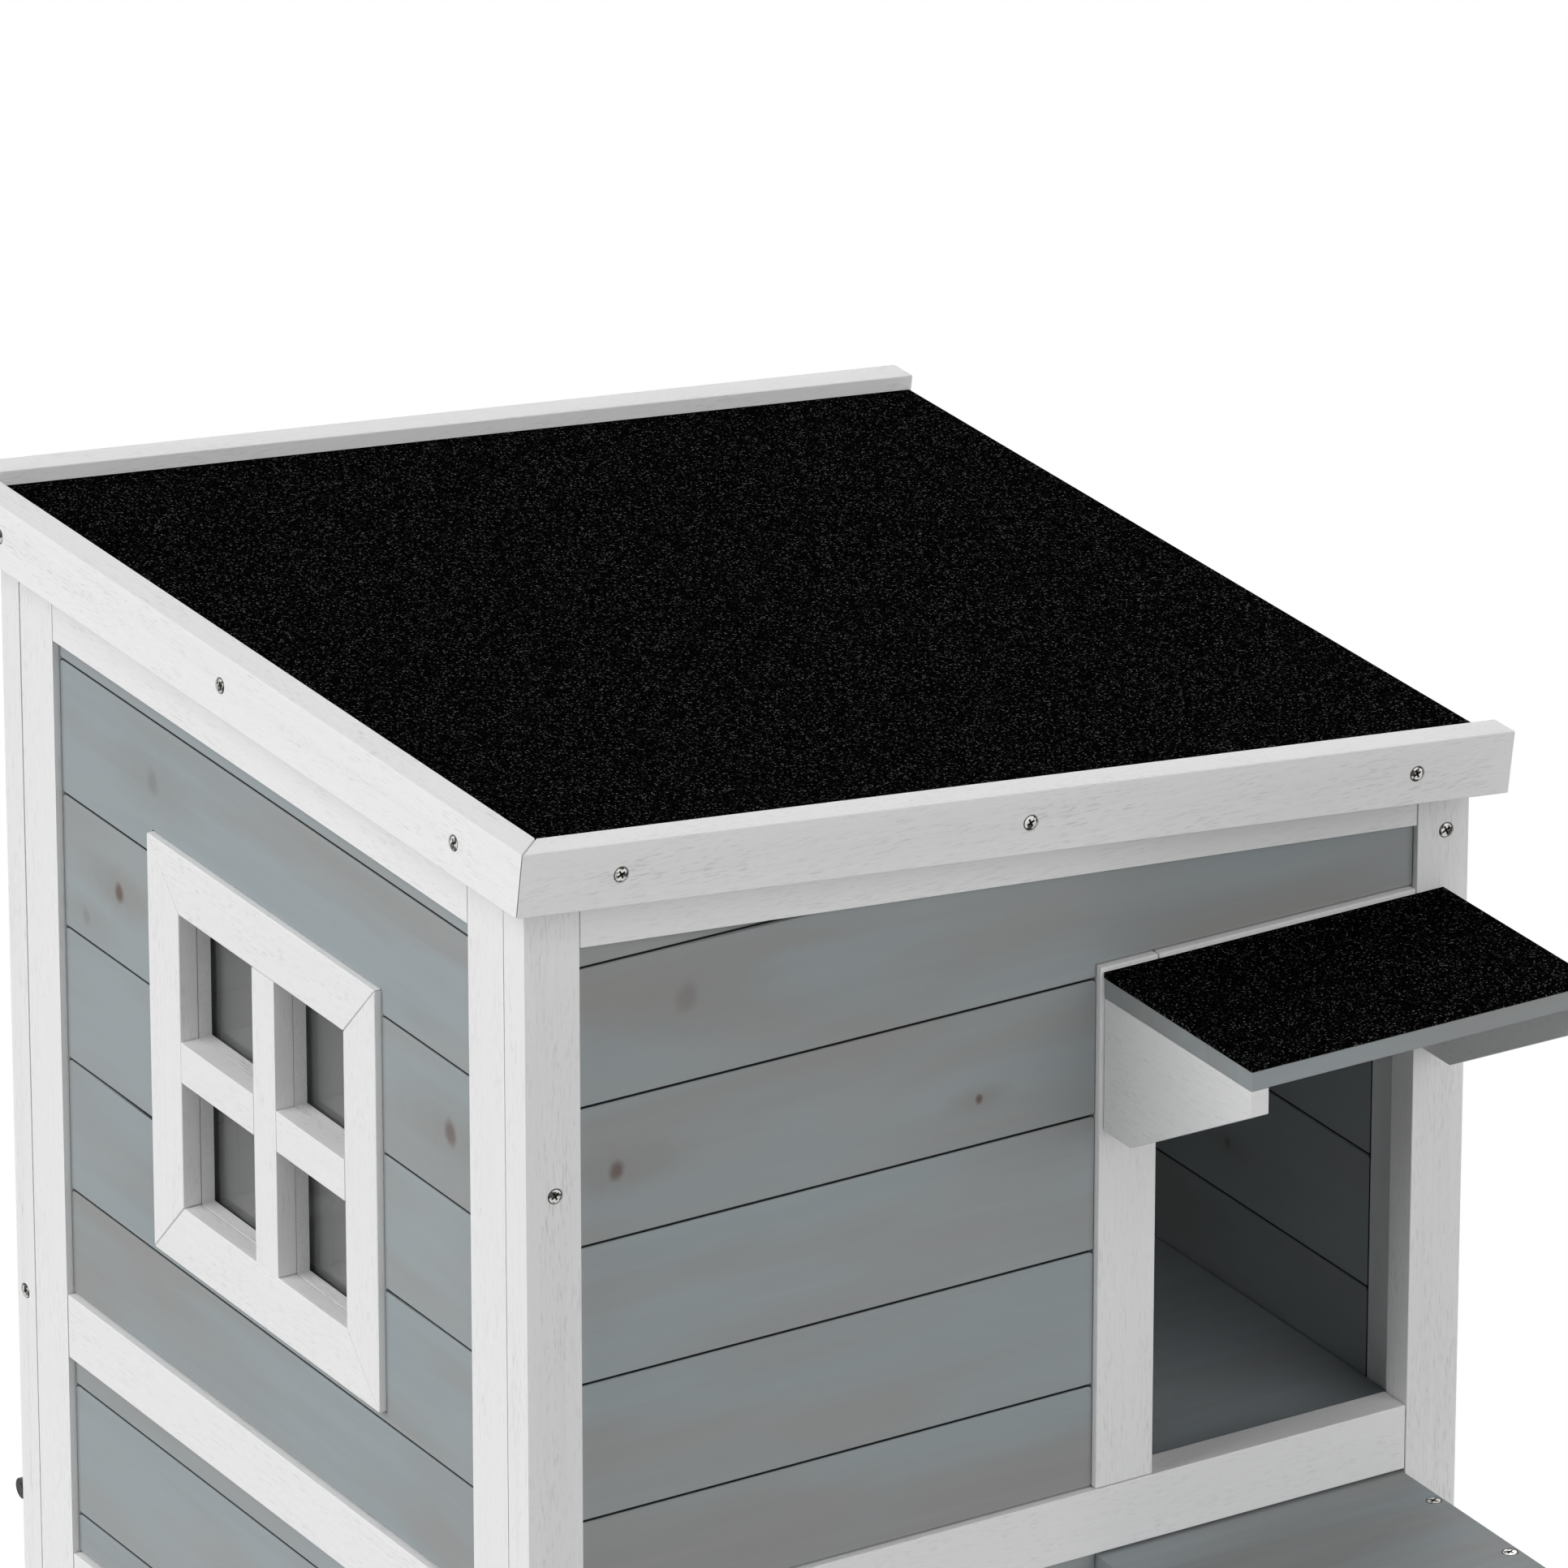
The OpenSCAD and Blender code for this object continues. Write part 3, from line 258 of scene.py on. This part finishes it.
def dress(tree, shader, base, roughness, **more):
    """Sets the shader's colour, its roughness, and more inputs by name (_ for a space)."""
    put(tree, shader.inputs["Base Color"], base)
    put(tree, shader.inputs["Roughness"], roughness)
    for key, value in more.items():
        put(tree, shader.inputs[key.replace("_", " ")], value)


def object_place(tree):
    return set_up(tree, "TexCoord").outputs["Object"]


def of_piece(tree, name, output):
    """A value that each separate solid of a piece carries."""
    return set_up(tree, "Attribute", {"attribute_name": name}).outputs[output]


def along(tree, axis, along_scale):
    """Object place, shifted for each solid and drawn out along the grain."""
    place = vector_calc(tree, "ADD", object_place(tree), of_piece(tree, "shift", "Vector"))
    scale = [1.0, 1.0, 1.0]
    scale["xyz".index(axis)] = along_scale
    return vector_calc(tree, "MULTIPLY", place, scale)


def bump(tree, height, strength, distance=RELIEF):
    n = set_up(tree, "Bump", None, {"Height": height, "Strength": strength,
                                    "Distance": distance})
    return n.outputs[0]


def grey(tree, level):
    return set_up(tree, "CombineColor", None, {0: level, 1: level, 2: level}).outputs[0]


def scaled(tree, base, factor):
    """A colour made lighter or darker by a factor."""
    return mix(tree, 1.0, base, grey(tree, factor), "MULTIPLY")


def edges_worn_and_highlit(tree):
    """1 on the outer edges of a piece, 0 on its faces: where colour is lightened as painted
    highlight and wear.
    """
    point = set_up(tree, "NewGeometry").outputs["Pointiness"]
    return ramp(tree, point, 0.51, 0.58)


def white_paint(axis):
    """Thin white paint, through which the short pores of the grain show."""
    m, tree, shader = start("white_paint_" + axis)
    pores = noise(tree, along(tree, axis, 0.07), 1700.0, 1.0, 0.5)
    pores = ramp(tree, pores, 0.56, 0.70)
    patches = ramp(tree, noise(tree, along(tree, axis, 0.3), 60.0, 1.0), 0.35, 0.65, 0.35, 1.0)
    pores = calc(tree, "MULTIPLY", pores, patches)
    streaks = noise(tree, along(tree, axis, 0.02), 420.0, 3.0, 0.6)
    clouds = noise(tree, along(tree, axis, 0.25), 20.0, 2.0, 0.5)
    tone = of_piece(tree, "tone", "Fac")
    light = ramp(tree, streaks, 0.3, 0.7, 0.972, 1.010)
    light = calc(tree, "MULTIPLY", light, ramp(tree, clouds, 0.3, 0.7, 0.988, 1.01))
    light = calc(tree, "MULTIPLY", light, ramp(tree, tone, 0.0, 1.0, 0.985, 1.012))
    base = scaled(tree, colour(0.842, 0.839, 0.840), light)
    base = mix(tree, calc(tree, "MULTIPLY", pores, 0.7), base, colour(0.55, 0.545, 0.54))
    # Painted highlight and wear: the outer edges a little lighter than the faces
    base = mix(tree, calc(tree, "MULTIPLY", edges_worn_and_highlit(tree), 0.5), base,
               colour(0.89, 0.89, 0.89))
    relief = calc(tree, "SUBTRACT", streaks, pores)
    dress(tree, shader, base, ramp(tree, pores, 0.0, 1.0, 0.55, 0.7), Specular_IOR_Level=0.25,
          Normal=bump(tree, relief, 0.25))
    return m


def knots_of(tree, across_axis, spots):
    """How far each place is in a knot (0 to 1) and in the warm wood around it (0 to 1)."""
    place = object_place(tree)
    ripple = noise(tree, place, 110.0, 3.0, 0.6)
    ripple = calc(tree, "MULTIPLY", calc(tree, "SUBTRACT", ripple, 0.5), 0.5)
    halo, core = None, None
    for along_at, height, size, darkness in spots:
        centre = [0.0, 0.0, height]
        centre["xyz".index(across_axis)] = along_at
        away = vector_calc(tree, "SUBTRACT", place, centre)
        reach = []
        for half_l, half_h in (HALO_REACH, KNOT_REACH):
            stretch = [0.0, 0.0, 1.0 / (half_h * size)]
            stretch["xyz".index(across_axis)] = 1.0 / (half_l * size)
            far = vector_calc(tree, "LENGTH", vector_calc(tree, "MULTIPLY", away, stretch))
            reach.append(calc(tree, "ADD", far, ripple))
        wide, close = reach
        one_halo = ramp(tree, wide, 0.0, 1.0, HALO[0] + HALO[1] * darkness, 0.0)
        one_core = ramp(tree, close, 0.35, 1.25, darkness, 0.0)
        halo = one_halo if halo is None else calc(tree, "MAXIMUM", halo, one_halo)
        core = one_core if core is None else calc(tree, "MAXIMUM", core, one_core)
    return halo, core


def grey_stain(name, axis, blue=0.5, spots=(), streaky=1.0):
    """Grey stain on softwood: soft cool and warm clouds, more or less streaky grain, knots."""
    m, tree, shader = start("grey_stain_" + name)
    clouds = noise(tree, along(tree, axis, 0.2), 24.0, 2.0, 0.45, 0.3)
    bands = noise(tree, along(tree, axis, 0.05), 110.0, 3.0, 0.6, 0.2)
    grain = noise(tree, along(tree, axis, 0.02), 800.0, 2.0, 0.6)
    tone = of_piece(tree, "tone", "Fac")
    share = ramp(tree, clouds, 0.32, 0.68, blue - 0.5, blue + 0.5)
    share = calc(tree, "ADD", share, ramp(tree, tone, 0.0, 1.0, -0.2, 0.2), True)
    base = mix(tree, share, colour(0.305, 0.302, 0.297), colour(0.312, 0.352, 0.368))
    light = ramp(tree, bands, 0.3, 0.7, 1.0 - 0.025 * streaky, 1.0 + 0.02 * streaky)
    light = calc(tree, "MULTIPLY", light, ramp(tree, grain, 0.3, 0.7, 0.992, 1.006))
    light = calc(tree, "MULTIPLY", light, ramp(tree, tone, 0.0, 1.0, 0.97, 1.03))
    base = scaled(tree, base, light)
    # Painted highlight and wear: the outer edges a little lighter than the faces
    base = mix(tree, calc(tree, "MULTIPLY", edges_worn_and_highlit(tree), 0.3), base,
               colour(0.36, 0.39, 0.40))
    if spots:
        halo, core = knots_of(tree, axis, spots)
        base = mix(tree, calc(tree, "MULTIPLY", halo, 0.6), base, colour(0.262, 0.252, 0.240))
        base = mix(tree, calc(tree, "MULTIPLY", core, 0.82), base, colour(0.112, 0.070, 0.056))
    relief = calc(tree, "ADD", bands, calc(tree, "MULTIPLY", grain, 0.5))
    dress(tree, shader, base, ramp(tree, grain, 0.3, 0.7, 0.58, 0.66), Specular_IOR_Level=0.2,
          Normal=bump(tree, relief, 0.12))
    return m


def joint_shade_and_dirt():
    """Painted shade, with bare wood and dirt, deep in the joints between boards."""
    m, tree, shader = start("joint_shade_and_dirt")
    mottle = noise(tree, object_place(tree), 160.0, 3.0, 0.6)
    # Painted shade: nearly black, because the slits between boards lie in shade, with a little
    # dirt mottled in
    base = mix(tree, ramp(tree, mottle, 0.3, 0.7), colour(0.020, 0.020, 0.020),
               colour(0.040, 0.041, 0.041))
    dress(tree, shader, base, ramp(tree, mottle, 0.3, 0.7, 0.8, 0.9), Specular_IOR_Level=0.1)
    return m


def felt():
    """Mineral roofing felt: black, with a fine sparkle of lighter grains."""
    m, tree, shader = start("mineral_felt")
    place = object_place(tree)
    grit = noise(tree, place, 900.0, 2.0, 0.7)
    cells = set_up(tree, "TexVoronoi", None, {"Vector": place, "Scale": 950.0})
    chance = set_up(tree, "SeparateColor", None, {0: cells.outputs["Color"]}).outputs[0]
    grain = ramp(tree, cells.outputs["Distance"], 0.25, 0.6, 0.17, 0.0)
    grain = calc(tree, "MULTIPLY", grain, calc(tree, "POWER", chance, 8.0))
    light = calc(tree, "ADD", grain, ramp(tree, grit, 0.35, 0.75, 0.0006, 0.0035))
    dress(tree, shader, grey(tree, light), ramp(tree, grit, 0.3, 0.7, 0.85, 0.97),
          Specular_IOR_Level=0.0, Normal=bump(tree, grit, 0.5, 0.0005))
    return m


def metal(name, base, roughness, scale=600.0, level=1.0, specular=0.5):
    """Plain or black metal, finely mottled, with edges lightened as painted highlight and wear.
    """
    m, tree, shader = start(name)
    place = object_place(tree)
    fine = noise(tree, place, scale, 3.0, 0.6)
    shade = scaled(tree, base, ramp(tree, fine, 0.3, 0.7, 0.85, 1.08))
    # Painted highlight and wear: the edges lighter than the metal's own colour
    edge = calc(tree, "MULTIPLY", edges_worn_and_highlit(tree), 0.5)
    shade = mix(tree, edge, shade, [min(1.0, 1.35 * c + 0.03) for c in base[:3]] + [1.0])
    dress(tree, shader, shade, ramp(tree, fine, 0.3, 0.7, roughness - 0.06, roughness + 0.08),
          Metallic=level, Specular_IOR_Level=specular, Normal=bump(tree, fine, 0.1))
    return m


def nickel_tarnish_shade_and_reflections():
    """Nickel of the screw heads in patches of tarnish and painted reflection, nearly black in
    the painted shade and dirt of its slots and rim.
    """
    m, tree, shader = start("screw_nickel")
    patches = noise(tree, object_place(tree), 330.0, 1.0)
    fine = noise(tree, object_place(tree), 2400.0, 2.0)
    # Tarnish and painted reflection: patches from nearly black to light nickel
    base = mix(tree, ramp(tree, patches, 0.42, 0.54), colour(0.06, 0.058, 0.054),
               colour(0.60, 0.59, 0.565))
    base = scaled(tree, base, ramp(tree, fine, 0.3, 0.7, 0.85, 1.08))
    # Painted shade and dirt: the slots and the rim of each head turn nearly black
    grime_and_shade = of_piece(tree, "grime_and_shade", "Fac")
    base = mix(tree, grime_and_shade, base, colour(0.008, 0.008, 0.007))
    dress(tree, shader, base, ramp(tree, fine, 0.3, 0.7, 0.32, 0.45), Metallic=1.0)
    return m


def pane():
    """Clear acrylic sheet, faintly smoky, with slight waviness."""
    m, tree, shader = start("clear_pane")
    place = object_place(tree)
    waves = noise(tree, place, 14.0, 2.0)
    dust = noise(tree, place, 300.0, 3.0, 0.6)
    tint = mix(tree, ramp(tree, dust, 0.4, 0.8), colour(0.70, 0.705, 0.71),
               colour(0.62, 0.625, 0.63))
    dress(tree, shader, tint, ramp(tree, dust, 0.3, 0.8, 0.04, 0.12), Transmission_Weight=0.85,
          IOR=1.49, Normal=bump(tree, waves, 0.05, 0.001))
    return m


def rubber():
    m, tree, shader = start("seal_rubber")
    fine = noise(tree, object_place(tree), 500.0, 3.0)
    base = mix(tree, ramp(tree, fine, 0.3, 0.7), colour(0.03, 0.031, 0.033),
               colour(0.045, 0.046, 0.048))
    dress(tree, shader, base, ramp(tree, fine, 0.3, 0.7, 0.65, 0.8),
          Normal=bump(tree, fine, 0.2))
    return m


def solids_of(bm):
    """The separate solids of a mesh, each as a list of its vertices."""
    bm.verts.ensure_lookup_table()
    seen, found = set(), []
    for first in bm.verts:
        if first.index in seen:
            continue
        seen.add(first.index)
        queue, group = [first], []
        while queue:
            v = queue.pop()
            group.append(v)
            for e in v.link_edges:
                w = e.other_vert(v)
                if w.index not in seen:
                    seen.add(w.index)
                    queue.append(w)
        found.append(group)
    return found


def long_axis(group):
    sizes = [max(v.co[i] for v in group) - min(v.co[i] for v in group) for i in range(3)]
    return sizes.index(max(sizes))


def draw_in(bm, by):
    """Moves every face inwards, so that a piece stands a little apart from its neighbours."""
    bm.normal_update()
    moves = [(v, v.normal * min(v.calc_shell_factor(), SHELL_MOST) * by) for v in bm.verts]
    for v, move in moves:
        v.co -= move


def add_piece(name, mesh, node):
    """A new piece that stands for a CAD node and moves with it."""
    piece = bpy.data.objects.new(name, mesh)
    bpy.context.scene.collection.objects.link(piece)
    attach(piece, body_of(frame["nodes"][node])[0])
    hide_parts(node)
    return piece


def darken_joints(mesh, joint):
    """The surfaces deep between boards get the joint's material of painted shade and dirt."""
    mesh.materials.append(joint)
    extents = [[min(v.co[i] for v in mesh.vertices), max(v.co[i] for v in mesh.vertices)]
               for i in range(3)]
    thin = min(range(3), key=lambda i: extents[i][1] - extents[i][0])
    low, high = extents[thin]
    # Painted shade and dirt: faces deep in the slits between boards get the near-black joint
    # material
    for p in mesh.polygons:
        if min(p.center[thin] - low, high - p.center[thin]) > JOINT_DEPTH:
            p.material_index = len(mesh.materials) - 1


def wood_piece(name, rng, materials, eased, play=PLAY, joint=None):
    """A copy of a CAD node with eased edges, and a tone, a shift and a grain for each solid."""
    bm = bmesh.new()
    bm.from_mesh(frame["nodes"][name].data)
    bmesh.ops.remove_doubles(bm, verts=bm.verts, dist=WELD)
    bmesh.ops.dissolve_limit(bm, angle_limit=FLAT, verts=bm.verts, edges=bm.edges)
    draw_in(bm, play)
    bm.verts.index_update()
    tone = bm.verts.layers.float.new("tone")
    shift = bm.verts.layers.float_vector.new("shift")
    for group in solids_of(bm):
        level = rng.random()
        offset = Vector([rng.uniform(-GRAIN_SHIFT, GRAIN_SHIFT) for _ in range(3)])
        axis = long_axis(group)
        for v in group:
            v[tone] = level
            v[shift] = offset
            for f in v.link_faces:
                f.material_index = min(axis, len(materials) - 1)
    if eased:
        edges = [e for e in bm.edges if len(e.link_faces) == 2 and e.is_convex
                 and e.calc_length() > SHORTEST_EASED and e.calc_face_angle(0) > SHARP]
        bmesh.ops.bevel(bm, geom=edges, offset=eased, segments=2, profile=0.5,
                        affect="EDGES", clamp_overlap=True)
    mesh = bpy.data.meshes.new(name + "_wood")
    bm.to_mesh(mesh)
    bm.free()
    for m in materials:
        mesh.materials.append(m)
    if joint:
        darken_joints(mesh, joint)
    for p in mesh.polygons:
        p.use_smooth = True
    mesh.set_sharp_from_angle(angle=CRISP_WOOD)
    piece = add_piece(name + "_wood", mesh, name)
    even = piece.modifiers.new("even_shading", "WEIGHTED_NORMAL")
    even.keep_sharp = True
    return piece


def turned(bm, profile, steps):
    """A closed solid turned round z from (radius, height) points, both ends on the axis."""
    rings = []
    for radius, height in profile:
        turns = [2 * math.pi * i / steps for i in range(steps if radius else 1)]
        rings.append([bm.verts.new((radius * math.cos(t), radius * math.sin(t), height))
                      for t in turns])
    for ring, following in zip(rings, rings[1:]):
        for i in range(steps):
            j = (i + 1) % steps
            quad = [ring[i % len(ring)], ring[j % len(ring)],
                    following[j % len(following)], following[i % len(following)]]
            bm.faces.new(list(dict.fromkeys(quad)))
    bmesh.ops.recalc_face_normals(bm, faces=bm.faces)


def slot_cutter(r, turn):
    """A wedge as long as a cross slot is at the top, narrower at its bottom."""
    bm = bmesh.new()
    layers = []
    for height, half_l, half_w in SLOT:
        layers.append([bm.verts.new((x * half_l * r, y * half_w * r, height * r))
                       for x, y in ((-1, -1), (1, -1), (1, 1), (-1, 1))])
    for i in range(4):
        j = (i + 1) % 4
        bm.faces.new([layers[0][i], layers[0][j], layers[1][j], layers[1][i]])
    for layer in layers:
        bm.faces.new(layer)
    bmesh.ops.rotate(bm, verts=bm.verts, cent=(0, 0, 0), matrix=Matrix.Rotation(turn, 3, "Z"))
    bmesh.ops.recalc_face_normals(bm, faces=bm.faces)
    return scratch_object(bm)


def scratch_object(bm):
    mesh = bpy.data.meshes.new("scratch")
    bm.to_mesh(mesh)
    bm.free()
    thing = bpy.data.objects.new("scratch", mesh)
    bpy.context.scene.collection.objects.link(thing)
    return thing


def carved(solid, cutters):
    """The mesh of a solid without what the cutters take away."""
    for cutter in cutters:
        cut = solid.modifiers.new("cut", "BOOLEAN")
        cut.operation = "DIFFERENCE"
        cut.object = cutter
    graph = bpy.context.evaluated_depsgraph_get()
    mesh = bpy.data.meshes.new_from_object(solid.evaluated_get(graph))
    for thing in (solid, *cutters):
        bpy.data.objects.remove(thing)
    return mesh


def screw_mesh(r, length):
    """A countersunk screw along -z with a low domed cross head, its top at z = 0."""
    profile = [*DOME, (1.0, -SINK), (SHANK, -SINK - 1.0 + SHANK)]
    profile = [(radius * r, height * r) for radius, height in profile]
    profile += [(SHANK * r, -length), (0.0, -length)]
    bm = bmesh.new()
    turned(bm, profile, HEAD_STEPS)
    slots = [slot_cutter(r, SLOT_TURN), slot_cutter(r, SLOT_TURN + math.pi / 2)]
    mesh = carved(scratch_object(bm), slots)
    # Painted shade and dirt: faces in the slots, on the rim and not facing up are marked dark
    grime_and_shade = mesh.attributes.new("grime_and_shade", "FLOAT", "FACE")
    for p, g in zip(mesh.polygons, grime_and_shade.data):
        inside = math.hypot(p.center.x, p.center.y) < HEAD_UNDARKENED * r
        undarkened = inside and p.center.z > -UNDARKENED_DEPTH * r and p.normal.z > UNDARKENED_UP
        g.value = 0.0 if undarkened else GRIME_AND_SHADE
    return mesh


def screw_place(group):
    """The middle of a screw's head and the middle of its tip."""
    axis = long_axis(group)
    ends = (min(v.co[axis] for v in group), max(v.co[axis] for v in group))
    sets = [[v.co for v in group if abs(v.co[axis] - end) < END_DEPTH] for end in ends]
    wide = [max((a - b).length for a in cs for b in cs) for cs in sets]
    narrow_end = sets[wide.index(min(wide))]
    tip = sum(narrow_end, Vector()) / len(narrow_end)
    reach = max((v.co - tip).length for v in group)
    top = [v.co for v in group if (v.co - tip).length > reach - END_DEPTH]
    return sum(top, Vector()) / len(top), tip


def screws_piece(name, r, material):
    """Detailed screws in the places of a node's plain ones."""
    plain = bmesh.new()
    plain.from_mesh(frame["nodes"][name].data)
    bmesh.ops.remove_doubles(plain, verts=plain.verts, dist=WELD)
    plain.verts.index_update()
    made, joined = {}, bmesh.new()
    for group in solids_of(plain):
        head, tip = screw_place(group)
        length = round((tip - head).length, 3)
        if length not in made:
            made[length] = screw_mesh(r, length)
        one = made[length].copy()
        turn = (head - tip).to_track_quat("Z", "Y").to_matrix().to_4x4()
        one.transform(Matrix.Translation(head) @ turn)
        joined.from_mesh(one)
    plain.free()
    mesh = bpy.data.meshes.new(name + "_heads")
    joined.to_mesh(mesh)
    joined.free()
    mesh.materials.append(material)
    for p in mesh.polygons:
        p.use_smooth = True
    mesh.set_sharp_from_angle(angle=CRISP_SCREWS)
    return add_piece(name + "_heads", mesh, name)


def finish_node(name, material):
    """A CAD node that keeps its shape gets its detailed material."""
    source = frame["nodes"][name]
    source.data.materials.clear()
    source.data.materials.append(material)


def make_wood():
    rng = random.Random(SEED)
    white = [white_paint(a) for a in "xyz"]
    plain_grey = [grey_stain("plain_" + a, a, 0.75, streaky=2.0) for a in "xyz"]
    joint = joint_shade_and_dirt()
    for name in WHITE_WOOD:
        eased, play = EASED, PLAY
        if "casing" in name:
            eased, play = EASED_CASING, FINE_PLAY
        if name in FINE_WOOD:
            eased, play = EASED_BARS, FINEST_PLAY
        wood_piece(name, rng, white, eased, play)
    for name in GREY_WOOD:
        wood_piece(name, rng, plain_grey, EASED)
    for wall, (names, blue, spots) in BOARDS.items():
        stain = grey_stain(wall, "y" if wall in ("left", "right") else "x", blue, spots)
        for name in names:
            piece = wood_piece(name, rng, [stain], 0.0, FINE_PLAY, joint)


def make_fittings():
    nickel = metal("nickel", colour(0.34, 0.335, 0.315), 0.34)
    iron = metal("black_iron", colour(0.010, 0.010, 0.011), 0.5, 400.0, 0.0, 0.25)
    mineral, glass, soft = felt(), pane(), rubber()
    heads = nickel_tarnish_shade_and_reflections()
    for name, r in SCREWS.items():
        screws_piece(name, r, heads)
    for name in ("roof_felt", "awning_felt"):
        finish_node(name, mineral)
    for name in ("bolt_guide", "bolt_rod", "bolt_keeper"):
        finish_node(name, iron)
    for name in ("hinge_screws", "back_door_screws", "hinge_pins", "roof_hinge_fixed",
                 "roof_hinge_moving", "door_hinge_fixed", "door_hinge_moving"):
        finish_node(name, nickel)
    finish_node("window_pane", glass)
    finish_node("window_seal", soft)


def background_seen(tree):
    """1 for the rays that show the background: seen straight, in gloss and through glass."""
    path = set_up(tree, "LightPath")
    seen = calc(tree, "MAXIMUM", path.outputs["Is Camera Ray"], path.outputs["Is Glossy Ray"])
    return calc(tree, "MAXIMUM", seen, path.outputs["Is Transmission Ray"])


def make_floor():
    """A white floor that keeps the shadow near the house and is plain white farther out."""
    mesh = bpy.data.meshes.new("floor")
    turns = [2 * math.pi * i / FLOOR_STEPS for i in range(FLOOR_STEPS)]
    ring = [(FLOOR_RADIUS * math.cos(t), FLOOR_RADIUS * math.sin(t), 0.0) for t in turns]
    mesh.from_pydata(ring, [], [list(range(FLOOR_STEPS))])
    floor = bpy.data.objects.new("floor", mesh)
    bpy.context.scene.collection.objects.link(floor)
    floor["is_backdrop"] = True
    m = bpy.data.materials.new("floor_white")
    m.use_nodes = True
    tree = m.node_tree
    tree.nodes.clear()
    out = tree.nodes.new("ShaderNodeOutputMaterial")
    middle = [0.5 * (a + b) for a, b in zip(*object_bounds())]
    offset = vector_calc(tree, "SUBTRACT", object_place(tree), [middle[0], middle[1], 0.0])
    near = ramp(tree, vector_calc(tree, "LENGTH", offset), *SHADOW_FADE, 1.0, 0.0)
    lit = SKY + sum(strength * Vector(at).normalized().z
                    for at, strength, _ in LIGHTS.values()) / math.pi
    share = calc(tree, "MULTIPLY", near, FLOOR_SHARE)
    shaded = set_up(tree, "BsdfDiffuse", None, {"Color": grey(tree, share)}).outputs[0]
    rest = calc(tree, "SUBTRACT", 1.0, calc(tree, "MULTIPLY", share, lit))
    glow = set_up(tree, "Emission", None, {"Strength": rest}).outputs[0]
    seen = set_up(tree, "AddShader", None, {0: shaded, 1: glow}).outputs[0]
    bounce = colour(FLOOR_BOUNCE, FLOOR_BOUNCE, FLOOR_BOUNCE)
    plain = set_up(tree, "BsdfDiffuse", None, {"Color": bounce}).outputs[0]
    both = set_up(tree, "MixShader", None, {0: background_seen(tree), 1: plain, 2: seen})
    tree.links.new(both.outputs[0], out.inputs[0])
    mesh.materials.append(m)


def make_world():
    world = bpy.data.worlds.new("studio")
    bpy.context.scene.world = world
    world.use_nodes = True
    tree = world.node_tree
    tree.nodes.clear()
    out = tree.nodes.new("ShaderNodeOutputWorld")
    strength = ramp(tree, background_seen(tree), 0.0, 1.0, SKY, 1.0)
    sky = set_up(tree, "Background", None, {"Color": colour(1.0, 1.0, 1.0),
                                           "Strength": strength})
    tree.links.new(sky.outputs[0], out.inputs[0])


def make_lights():
    for name, (at, strength, width) in LIGHTS.items():
        lamp = bpy.data.lights.new(name, "SUN")
        lamp.energy = strength
        lamp.angle = math.radians(width)
        sun = bpy.data.objects.new(name, lamp)
        sun.rotation_euler = Vector(at).to_track_quat("Z", "Y").to_euler()
        sun.location = Vector(at) * LAMP_DISTANCE
        bpy.context.scene.collection.objects.link(sun)


def make_camera():
    data = bpy.data.cameras.new("camera")
    data.lens = LENS
    data.sensor_width = SENSOR
    data.clip_end = FARTHEST_SEEN
    camera = bpy.data.objects.new("camera", data)
    back = TO_CAMERA.normalized()
    right = Vector((0, 0, 1)).cross(back).normalized()
    up = back.cross(right)
    turn = Matrix((right, up, back)).transposed().to_4x4()
    camera.matrix_world = Matrix.Translation(CAMERA_AT) @ turn
    bpy.context.scene.collection.objects.link(camera)
    bpy.context.scene.camera = camera


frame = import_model()
bpy.context.scene.view_settings.view_transform = "Standard"
make_camera()
make_wood()
make_fittings()
make_floor()
make_world()
make_lights()
